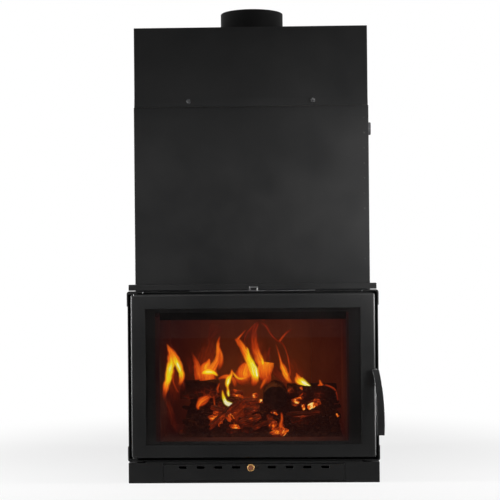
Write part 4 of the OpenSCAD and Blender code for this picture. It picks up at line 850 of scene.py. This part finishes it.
# ribs and bumps are shares of the stick's thickness; the taper starts near the ends
stickShape = {"sides": 18, "cuts": 14, "rib": 0.1, "bump": 0.22, "bumpSize": 2.6, "bumpStep": 5, "taper": 0.35,
              "taperFrom": 0.38, "taperReach": 0.12, "glow": 2.2, "patch": 0.5, "patchSize": 4, "endPush": 0.04}
bm = bmesh.new()
heatLayer = bm.verts.layers.float.new("emberHeat")
for number, stick in enumerate(coalLook["sticks"]):
    start, end = Vector(stick["from"]), Vector(stick["to"])
    reach = end - start
    wide, thick = stick["size"]
    before = len(bm.verts)
    made = bmesh.ops.create_cone(bm, cap_ends=True, segments=stickShape["sides"], radius1=0.5, radius2=0.5, depth=1)
    rim = {edge for vert in made["verts"] for edge in vert.link_edges}
    sides = [edge for edge in rim if abs(edge.verts[0].co.z - edge.verts[1].co.z) > 0.5]
    bmesh.ops.subdivide_edges(bm, edges=sides, cuts=stickShape["cuts"])
    bm.verts.ensure_lookup_table()
    verts = bm.verts[before:]
    matrix = (Matrix.Translation(mm(*((start + end) / 2))) @ reach.to_track_quat("Z", "Y").to_matrix().to_4x4()
              @ Matrix.Diagonal((wide / 1000, thick / 1000, reach.length / 1000, 1)))
    for vert in verts:
        angle = math.atan2(vert.co.y, vert.co.x)
        shift = Vector((0, 0, number * stickShape["bumpStep"]))
        ribs = stickShape["rib"] * math.sin(angle * stick["ribs"] * 2 + number)
        ribs += stickShape["bump"] * noise.noise(vert.co * stickShape["bumpSize"] + shift)
        past = max(abs(vert.co.z) - stickShape["taperFrom"], 0) / stickShape["taperReach"]
        flat = Vector((vert.co.x, vert.co.y, 0)) * (1 + ribs) * (1 - stickShape["taper"] * past)
        patch = noise.noise(vert.co * stickShape["patchSize"] + Vector((9, 0, number)))
        vert[heatLayer] = stick["heat"] * (1 - stickShape["glow"] * ribs) * (1.0 + stickShape["patch"] * patch)
        push = stickShape["endPush"] * noise.noise(Vector((angle * 2, number, 1)))
        vert.co = matrix @ Vector((flat.x, flat.y, vert.co.z + push))
bmesh.ops.recalc_face_normals(bm, faces=bm.faces)
newPiece("burntSticks", bm, "root", embers, 40)
print("embers ready")


# the three logs: a split one at the left, a round one end on, a thin round one at the right
# glow places are x, y, z, reach and heat, for the char's own glow and for painted firelight from the flames; grain
# sizes are in millimetres
logLook = {
    "splitLog": {"place": (-180, 20, 252.3), "size": (129, 65, 59.4), "turn": 6, "rough": 2.6, "corner": 0.13,
                 "cuts": 9, "fibre": (46, 9, 7), "block": (17, 20, 13), "barkFrom": 14, "shares": (0.7, 1.1),
                 "cool": 0.02, "warm": [(-150, -16, 228, 38, 0.34), (-215, -16, 224, 30, 0.22),
                                        (-176, -16, 236, 26, 0.22), (-118, 0, 240, 18, 0.36)]},
    # the cross log's patch at the right of its front end is a painted reflection of the flames
    "crossLog": {"axis": "y", "centre": (64, 234), "radius": 40.5, "from": -78, "to": 110, "rough": 3.4,
                 "warm": [(98, -40, 236, 22, 0.2), (40, -70, 205, 16, 0.16)]},
    # the side log's two wide faint patches along its front (x 150 and 205) are painted firelight; the one at its right
    # end is the burning rim's own glow
    "sideLog": {"axis": "x", "centre": (20, 243), "radius": 28.6, "from": 101, "to": 264, "rough": 2.2,
                "warm": [(262, 20, 244, 15, 0.30), (150, -8, 236, 26, 0.2), (205, -8, 232, 24, 0.24),
                         (112, -8, 250, 14, 0.4)]}}
roundLog = {"sides": 56, "cuts": 44, "capRings": (0.1, 0.16, 0.2, 0.2, 0.16), "block": (2.2, 15), "bark": (3.1, 40),
            "shares": (0.6, 0.9), "edge": (0.06, 0.47, 0.03), "ring": (0.7, 21, 0.92), "shorter": 0.012, "cool": 0.015}


def logHeat(co, base, spots):
    level = base
    for x, y, z, reach, heat in spots:
        level = max(level, heat * math.exp(-((co * 1000 - Vector((x, y, z))).length / reach) ** 2))
    return level


look = logLook["splitLog"]
bm = bmesh.new()
bmesh.ops.create_cube(bm, size=1)
corners = [edge for edge in bm.edges if abs(edge.verts[0].co.x - edge.verts[1].co.x) > 0.5]
bmesh.ops.bevel(bm, geom=corners, offset=look["corner"], affect="EDGES", segments=3, profile=0.5, material=-1)
bmesh.ops.subdivide_edges(bm, edges=bm.edges[:], cuts=look["cuts"], use_grid_fill=True)
place = Matrix.Translation(mm(*look["place"])) @ Matrix.Rotation(math.radians(look["turn"]), 4, "Z")
size = Vector(look["size"]) - Vector((look["rough"],) * 3)
fibreShare, blockShare = look["shares"]
for vert in bm.verts:
    spot = Vector((vert.co.x * size.x, vert.co.y * size.y, vert.co.z * size.z))
    away = Vector((vert.co.x * 0.2, vert.co.y, vert.co.z)).normalized()
    fibre, block = [Vector([pick / wide for pick, wide in zip(spot, look[key])]) for key in ("fibre", "block")]
    fibres = noise.fractal(fibre, 1.0, 2.0, 4)
    blocks = -abs(noise.noise(block)) if spot.z < look["barkFrom"] else 0
    spot += away * look["rough"] * (fibreShare * fibres + blockShare * blocks)
    vert.co = place @ (spot / 1000)
bmesh.ops.recalc_face_normals(bm, faces=bm.faces)
setHeat(bm, lambda vert: logHeat(vert.co, look["cool"], look["warm"]))
newPiece("splitLog", bm, "root", charred, 40, ["logs"])

blockWide, blockLong = roundLog["block"]
barkWide, barkLong = roundLog["bark"]
barkShare, blockShare = roundLog["shares"]
edgeDrop, edgeFrom, edgeReach = roundLog["edge"]
ringDepth, ringCount, ringReach = roundLog["ring"]
for name in ("crossLog", "sideLog"):
    look = logLook[name]
    bm = bmesh.new()
    length = look["to"] - look["from"]
    bmesh.ops.create_cone(bm, cap_ends=True, cap_tris=False, segments=roundLog["sides"], radius1=1, radius2=1, depth=1)
    caps = [face for face in bm.faces if abs(face.normal.z) > 0.9]
    for width in roundLog["capRings"]:
        bmesh.ops.inset_region(bm, faces=caps, thickness=width)
    bmesh.ops.poke(bm, faces=[face for face in bm.faces if len(face.verts) > 4])
    sides = [edge for edge in bm.edges if abs(edge.verts[0].co.z - edge.verts[1].co.z) > 0.5]
    bmesh.ops.subdivide_edges(bm, edges=sides, cuts=roundLog["cuts"])
    radius = look["radius"] - look["rough"] / 2
    for vert in bm.verts:
        angle = math.atan2(vert.co.y, vert.co.x)
        across = Vector((vert.co.x, vert.co.y)).length
        along = vert.co.z * length
        sideways, upward = math.cos(angle), math.sin(angle)
        blocks = abs(noise.noise(Vector((sideways * blockWide, upward * blockWide, along / blockLong))))
        bark = noise.fractal(Vector((sideways * barkWide, upward * barkWide, along / barkLong)), 1.0, 2.0, 3)
        rounded = 1 - edgeDrop * max(abs(vert.co.z) - edgeFrom, 0) / edgeReach
        grown = across * rounded * (radius + look["rough"] * (barkShare * bark - blockShare * blocks))
        onCap = abs(vert.co.z) > 0.499 and across < ringReach
        rings = ringDepth * math.sin(across * ringCount) * onCap * (1 if along > 0 else -1)
        middle = (look["from"] + look["to"]) / 2
        spot = Vector((sideways * grown, upward * grown, along * (1 - roundLog["shorter"]) + middle - rings / 2))
        if look["axis"] == "y":
            vert.co = mm(look["centre"][0] + spot.x, spot.z, look["centre"][1] + spot.y)
        else:
            vert.co = mm(spot.z, look["centre"][0] + spot.x, look["centre"][1] + spot.y)
    bmesh.ops.recalc_face_normals(bm, faces=bm.faces)
    setHeat(bm, lambda vert: logHeat(vert.co, roundLog["cool"], look["warm"]))
    newPiece(name, bm, "root", charred, 40)
print("logs ready")


# flames: thin curved sheets whose colour follows their heat, clear where their cover is low
flameColours = [(0.0, (0.02, 0.0015, 0.001)), (0.2, (0.14, 0.012, 0.004)), (0.4, (0.52, 0.048, 0.006)),
                (0.56, (0.90, 0.145, 0.010)), (0.70, (1, 0.29, 0.012)), (0.84, (1, 0.64, 0.012)),
                (0.94, (1, 0.90, 0.016)), (1.0, (1, 0.97, 0.62))]
flameStreaks = {"fine": {"stretch": (260, 22, 1), "detail": 2.5, "bend": 0.8, "temper": (0.25, 0.75, -0.09, 0.07)},
                "wide": {"stretch": (90, 16, 1), "detail": 2.0, "bend": 0.4, "temper": (0.25, 0.75, -0.08, 0.07)},
                "veil": (0.2, 0.75, 0.72, 1.15)}
material, tree, shader, place = startMaterial("flame", base=(0, 0, 0), rough=1.0, specular=0.0)
across = addNode(tree, "UVMap").outputs[0]
streaks, wide = [grain(tree, stretched(tree, across, look["stretch"]), 1.0, look["detail"], distort=look["bend"])
                 for look in (flameStreaks["fine"], flameStreaks["wide"])]
heat = addNode(tree, "Attribute", attribute_name="emberHeat").outputs["Fac"]
cover = addNode(tree, "Attribute", attribute_name="flameCover").outputs["Fac"]
temper = sums(tree, "ADD", remap(tree, streaks, *flameStreaks["fine"]["temper"]),
              remap(tree, wide, *flameStreaks["wide"]["temper"]))
link(tree, ramp(tree, sums(tree, "ADD", heat, temper), flameColours), shader, "Emission Color")
shader.inputs["Emission Strength"].default_value = 1.0
veil = sums(tree, "MULTIPLY", cover, remap(tree, streaks, *flameStreaks["veil"]))
link(tree, addNode(tree, "Clamp", {"Value": veil}).outputs[0], shader, "Alpha")
finishes["flame"] = material


def alongSpine(rows, share):
    # smooth curve through the rows, and its value at a share of the way
    place = share * (len(rows) - 1)
    index = min(int(place), len(rows) - 2)
    t = place - index
    p0, p1, p2, p3 = [rows[min(max(index + step, 0), len(rows) - 1)] for step in (-1, 0, 1, 2)]
    return [0.5 * (2 * b + (c - a) * t + (2 * a - 5 * b + 4 * c - d) * t * t + (3 * b - a - 3 * c + d) * t ** 3)
            for a, b, c, d in zip(p0, p1, p2, p3)]


flameShape = {"slim": 4, "across": (10, 22), "perRow": 12, "reach": 0.02, "grow": 2.2, "least": 0.4,
              "waver": (13, 0.6, 1.8, 0.2), "swell": (0.16, 16, 7.0), "fallPower": 1.7, "fallReach": 6}


def addFlame(bm, y, rows, cover=0.97, core=0.0, fall=0.46, soft=7.0, foot=0.14, tip=0.1, lean=0.0, bow=5.0):
    # rows run from foot to tip: x, z, half width and heat at the core
    heatLayer, coverLayer = [bm.verts.layers.float[key] for key in ("emberHeat", "flameCover")]
    uvLayer = bm.loops.layers.uv["UVMap"]
    slim = max(row[2] for row in rows) < flameShape["slim"]
    steps = flameShape["perRow"] * (len(rows) - 1)
    made = bmesh.ops.create_grid(bm, x_segments=flameShape["across"][0 if slim else 1], y_segments=steps, size=0.5)
    waverLong, waverTurn, waverMost, waverShare = flameShape["waver"]
    swellShare, swellLong, swellTurn = flameShape["swell"]
    reach, power = flameShape["reach"], flameShape["fallPower"]
    seed = rows[0][0] * 0.37 + y
    spots = {}
    for vert in made["verts"]:
        side, share = vert.co.x * 2, vert.co.y + 0.5
        x, z, half, heat = alongSpine(rows, share)
        aheadX, aheadZ = alongSpine(rows, min(share + reach, 1))[:2]
        behindX, behindZ = alongSpine(rows, max(share - reach, 0))[:2]
        along = Vector((aheadX - behindX, 0, aheadZ - behindZ)).normalized()
        out = Vector((along.z, 0, -along.x))
        waver = noise.noise(Vector((seed, z / waverLong, side * waverTurn))) * min(waverMost, half * waverShare)
        swell = swellShare * noise.noise(Vector((seed, z / swellLong, (side > 0) * swellTurn)))
        half = max(half, flameShape["least"]) * (1 + swell) + flameShape["grow"]
        spot = Vector((x, y + lean * share + bow * (side * side - 0.5), z)) + out * (side * half + waver)
        cooler = abs(side - core) ** power / (1 + abs(core)) ** power * min(half / flameShape["fallReach"], 1)
        vert[heatLayer] = heat - fall * heat * cooler
        edge = min((1 - abs(side)) * half / soft, 1)
        ends = min(share / foot, 1) if foot else 1
        ends *= min((1 - share) / tip, 1) if tip else 1
        vert[coverLayer] = cover * (edge * edge * (3 - 2 * edge)) * (ends * ends * (3 - 2 * ends))
        spots[vert] = (side * half / 1000 + seed, z / 1000 + seed)
        vert.co = mm(*spot)
    for face in {face for vert in made["verts"] for face in vert.link_faces}:
        for loop in face.loops:
            loop[uvLayer].uv = spots[loop.vert]


flames = {
    "leftFlame": [
        {"y": -188, "rows": [(-278, 236, 5, 0.3), (-276, 258, 8, 0.42), (-272, 281, 10, 0.64), (-265, 305, 11, 0.96),
                             (-260, 332, 12, 0.98), (-254, 360, 13, 0.86), (-257, 388, 9, 0.64), (-269, 419, 1.5, 0.5)],
         "core": 0.1, "foot": 0.3},
        {"y": -192, "rows": [(-232, 284, 5, 0.36), (-224, 300, 8, 0.6), (-222, 320, 10, 0.86), (-227, 340, 11, 0.94),
                             (-237, 362, 12, 0.88), (-246, 384, 9, 0.72), (-262, 410, 2, 0.5)],
         "core": -0.2, "foot": 0.22},
        {"y": -184, "rows": [(-232, 262, 3, 0.3), (-243, 282, 4, 0.34), (-250, 310, 5, 0.4), (-247, 338, 5, 0.5)],
         "cover": 0.75, "foot": 0.15},
        {"y": -180, "rows": [(-214, 264, 8, 0.2), (-222, 290, 12, 0.26), (-232, 316, 12, 0.36)], "cover": 0.5,
         "foot": 0.5, "soft": 9, "tip": 0.3},
        {"y": -150, "rows": [(-236, 132, 10, 0.2), (-250, 170, 12, 0.2), (-262, 212, 10, 0.24), (-270, 250, 7, 0.34)],
         "cover": 0.3, "lean": -36, "soft": 10, "foot": 0.3, "tip": 0.3}],
    "splitLogFlame": [
        {"y": 14, "rows": [(-181, 283, 13, 0.5), (-184, 304, 14, 0.55), (-188, 330, 11, 0.50), (-197, 352, 7, 0.36),
                           (-210, 384, 3, 0.22)], "cover": 0.92, "core": 0.3, "foot": 0.1, "tip": 0.4, "soft": 6},
        {"y": 24, "rows": [(-206, 296, 8, 0.2), (-212, 330, 9, 0.2), (-222, 366, 9, 0.14)], "cover": 0.5,
         "foot": 0.4, "soft": 8, "tip": 0.5},
        {"y": 12, "rows": [(-155, 282, 26, 0.56), (-158, 304, 25, 0.64), (-160, 324, 17, 0.70), (-152, 340, 8, 0.62),
                           (-147, 354, 2, 0.46)], "core": 0.1, "foot": 0.05, "soft": 5},
        {"y": 5, "rows": [(-174, 304, 3, 0.7), (-162, 309, 9, 0.94), (-148, 310, 11, 0.98), (-133, 307, 7, 0.92),
                          (-119, 296, 2, 0.66)], "foot": 0.16, "tip": 0.14, "soft": 4.5},
        {"y": 10, "rows": [(-148, 306, 13, 0.68), (-136, 324, 12, 0.70), (-126, 340, 10, 0.66), (-120, 356, 8, 0.62),
                           (-119, 376, 8, 0.64), (-119, 398, 6, 0.6), (-117, 412, 4, 0.5), (-111, 428, 1.5, 0.36)],
         "core": -0.35, "foot": 0.1},
        {"y": 16, "rows": [(-121, 310, 5, 0.3), (-114, 330, 8, 0.4), (-110, 352, 8, 0.54), (-113, 372, 6, 0.56),
                           (-117, 392, 3, 0.5)], "cover": 0.9, "core": 0.2, "foot": 0.35},
        {"y": 4, "rows": [(-120, 298, 1.5, 0.46), (-126, 316, 2, 0.52), (-128, 336, 2, 0.6)], "cover": 0.8},
        {"y": 30, "rows": [(-134, 352, 7, 0.16), (-140, 384, 8, 0.18), (-148, 414, 8, 0.16), (-128, 452, 24, 0.12),
                           (-122, 484, 20, 0.08)], "cover": 0.5, "foot": 0.3, "soft": 10, "tip": 0.4}],
    "mainFlame": [
        {"y": -6, "rows": [(4, 272, 8, 0.5), (1, 290, 13, 0.92), (-3, 310, 15, 0.99), (-11, 331, 14, 0.97),
                           (-21, 354, 12, 0.86), (-31, 374, 13, 0.68), (-42, 394, 10, 0.58), (-53, 410, 8, 0.52),
                           (-67, 417, 2, 0.46)], "core": 0.25, "foot": 0.1, "fall": 0.36},
        {"y": -12, "rows": [(-14, 336, 4, 0.92), (-19, 360, 4, 0.94), (-22, 382, 3.5, 0.84), (-27, 392, 1.5, 0.6)],
         "foot": 0.2, "fall": 0.2},
        {"y": -4, "rows": [(-58, 410, 6, 0.48), (-50, 421, 5, 0.5), (-40, 432, 3, 0.44), (-28, 447, 1.5, 0.34)],
         "foot": 0.2},
        {"y": 22, "rows": [(20, 322, 6, 0.66), (15, 340, 12, 0.74), (8, 362, 13, 0.62), (1, 384, 12, 0.46),
                           (-3, 408, 11, 0.32), (-4, 434, 11, 0.26), (4, 458, 8, 0.24), (16, 472, 2, 0.2)],
         "cover": 0.85, "core": 0.35, "tip": 0.12, "soft": 5},
        {"y": 18, "rows": [(26, 330, 5, 0.86), (24, 344, 5, 0.88), (14, 364, 4, 0.66), (9, 384, 2.5, 0.5)], "tip": 0.3},
        {"y": 26, "rows": [(34, 262, 10, 0.22), (35, 284, 17, 0.42), (33, 306, 24, 0.58), (34, 326, 25, 0.66),
                           (36, 340, 25, 0.70)], "cover": 0.97, "foot": 0.3, "tip": 0.05, "soft": 4, "fall": 0.16},
        {"y": 6, "rows": [(-22, 266, 12, 0.26), (-34, 286, 27, 0.52), (-36, 304, 27, 0.66), (-32, 322, 18, 0.64),
                          (-26, 340, 6, 0.56)], "foot": 0.35, "soft": 6, "core": 0.2},
        {"y": -16, "rows": [(-6, 262, 6, 0.3), (-2, 280, 11, 0.52), (2, 300, 9, 0.62)], "cover": 0.8, "foot": 0.4,
         "tip": 0.4},
        {"y": -30, "rows": [(16, 254, 2, 0.3), (24, 270, 5, 0.5), (33, 286, 6, 0.52), (40, 300, 3, 0.4)],
         "cover": 0.9, "foot": 0.2, "tip": 0.4}],
    "curledFlame": [
        {"y": -36, "rows": [(-84, 234, 3, 0.92), (-86, 248, 5.5, 0.96), (-87, 262, 4, 0.78), (-88, 276, 8, 0.97),
                            (-83, 292, 9, 0.94), (-74, 306, 6, 0.7), (-74, 324, 1.5, 0.46)], "foot": 0.06},
        {"y": -34, "rows": [(-76, 322, 2, 0.5), (-66, 306, 3.5, 0.8), (-54, 294, 4, 0.84), (-40, 292, 4, 0.82),
                            (-22, 298, 2, 0.66)]},
        {"y": -28, "rows": [(-118, 290, 3, 0.4), (-104, 296, 6, 0.52), (-90, 298, 8, 0.6), (-78, 296, 5, 0.6)],
         "cover": 0.9, "tip": 0.2},
        {"y": -26, "rows": [(-62, 262, 6, 0.36), (-66, 280, 8, 0.5), (-72, 296, 5, 0.6)], "cover": 0.7, "foot": 0.4}],
    "wisps": [
        {"y": 40, "rows": [(16, 470, 2.4, 0.26), (36, 456, 3.4, 0.28), (52, 430, 3.6, 0.26), (70, 410, 3, 0.28),
                           (90, 398, 2, 0.3), (102, 374, 1.6, 0.3), (109, 344, 1.6, 0.34), (113, 314, 2, 0.4),
                           (112, 288, 2.4, 0.48)], "cover": 0.8, "soft": 3},
        {"y": 36, "rows": [(78, 404, 2.4, 0.34), (90, 418, 3, 0.38), (104, 434, 2.6, 0.3), (119, 444, 2, 0.2)],
         "cover": 0.85, "soft": 3},
        {"y": 44, "rows": [(-36, 478, 2, 0.2), (-16, 482, 3, 0.28), (-4, 494, 5, 0.32), (10, 484, 5, 0.34),
                           (36, 474, 2, 0.22)], "cover": 0.85, "soft": 3.4},
        {"y": 34, "rows": [(-38, 400, 1.5, 0.24), (-30, 424, 2.4, 0.26), (-14, 446, 3, 0.26), (6, 466, 2.4, 0.24)],
         "cover": 0.75, "soft": 3},
        {"y": 30, "rows": [(46, 342, 3, 0.24), (44, 362, 4, 0.22), (50, 388, 3, 0.18)], "cover": 0.7, "soft": 4}],
    "rightLogFlame": [
        {"y": 10, "rows": [(122, 271, 4, 0.52), (108, 284, 8, 0.62), (99, 302, 10, 0.72), (91, 322, 10, 0.72),
                           (85, 338, 5, 0.6), (79, 362, 3, 0.46), (72, 388, 2, 0.32), (66, 406, 1.5, 0.22)],
         "core": -0.1},
        {"y": 14, "rows": [(112, 274, 7, 0.32), (84, 292, 12, 0.24), (66, 312, 14, 0.2), (62, 340, 8, 0.16)],
         "cover": 0.6, "foot": 0.3, "soft": 8, "tip": 0.3},
        {"y": 4, "rows": [(183, 260, 2, 0.84), (169, 266, 7, 0.97), (155, 274, 12, 0.99), (142, 282, 14, 0.82),
                          (136, 298, 5, 0.56), (132, 307, 1.5, 0.44)], "foot": 0.03, "core": 0.1, "fall": 0.3},
        {"y": -4, "rows": [(146, 262, 5, 0.6), (152, 250, 3, 0.5), (152, 238, 2, 0.36), (142, 230, 2, 0.22)],
         "cover": 0.85, "soft": 3},
        {"y": 4, "rows": [(212, 263, 14, 0.46), (211, 271, 6, 0.54), (208, 283, 1.5, 0.48)], "foot": 0.1},
        {"y": -6, "rows": [(222, 268, 1.2, 0.34), (240, 262, 1.6, 0.4), (256, 252, 1.6, 0.34), (263, 236, 1.2, 0.26),
                           (267, 214, 1.2, 0.2)], "cover": 0.9, "soft": 2.4, "bow": 0}],
    "lowFlames": [
        {"y": -70, "rows": [(-102, 262, 1.6, 0.6), (-101, 246, 4, 0.84), (-97, 230, 6, 1.0), (-87, 217, 8.5, 1.1),
                            (-72, 212, 7, 1.1), (-60, 218, 2, 0.8)], "fall": 0.25, "tip": 0.1, "bow": 0},
        {"y": -40, "rows": [(-141, 238, 3, 0.4), (-156, 229, 11, 0.54), (-172, 218, 14, 0.58), (-182, 204, 7, 0.5),
                            (-180, 192, 3, 0.4)], "foot": 0.2, "tip": 0.16, "bow": 0},
        {"y": -44, "rows": [(-116, 246, 3, 0.36), (-119, 262, 4, 0.5), (-112, 280, 2, 0.4)], "cover": 0.85},
        {"y": -46, "rows": [(-128, 202, 2, 0.5), (-130, 220, 3, 0.44), (-132, 240, 2, 0.34)], "cover": 0.8},
        {"y": -136, "rows": [(98, 124, 5, 0.66), (88, 134, 8, 0.62), (82, 150, 7, 0.52), (86, 170, 5, 0.48),
                             (84, 192, 2, 0.34)], "cover": 0.94, "lean": 40, "bow": 0},
        {"y": -137, "rows": [(60, 130, 3, 0.7), (72, 132, 6, 0.78), (84, 136, 6, 0.6)], "cover": 0.9, "bow": 0}],
    "fireHaze": [
        {"y": -174, "rows": [(-246, 200, 20, 0.2), (-248, 290, 34, 0.32), (-252, 370, 30, 0.3), (-262, 440, 14, 0.2)],
         "cover": 0.24, "soft": 26, "foot": 0.4, "tip": 0.4},
        {"y": 44, "rows": [(-160, 290, 46, 0.34), (-158, 340, 50, 0.34), (-140, 400, 36, 0.26), (-125, 460, 26, 0.16)],
         "cover": 0.3, "soft": 32, "foot": 0.3, "tip": 0.5},
        {"y": 54, "rows": [(0, 250, 50, 0.36), (0, 320, 66, 0.38), (-5, 390, 50, 0.3), (-10, 466, 34, 0.2)],
         "cover": 0.34, "soft": 36, "foot": 0.3, "tip": 0.5},
        {"y": 50, "rows": [(130, 250, 60, 0.3), (116, 300, 52, 0.3), (90, 370, 34, 0.2)],
         "cover": 0.26, "soft": 32, "foot": 0.3, "tip": 0.5},
        {"y": -74, "rows": [(-140, 150, 30, 0.26), (-70, 180, 44, 0.36), (-10, 228, 36, 0.32), (30, 250, 20, 0.2)],
         "cover": 0.24, "soft": 30, "foot": 0.4, "tip": 0.4}]}
for name, sheets in flames.items():
    bm = bmesh.new()
    for key in ("emberHeat", "flameCover"):
        bm.verts.layers.float.new(key)
    bm.loops.layers.uv.new("UVMap")
    for sheet in sheets:
        addFlame(bm, **sheet)
    newPiece(name, bm, "root", finishes["flame"], 0)
print("flames ready:", sum(len(sheets) for sheets in flames.values()), "sheets")

size = {"cad": cadBox, "visual": [list(corner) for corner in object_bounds()]}
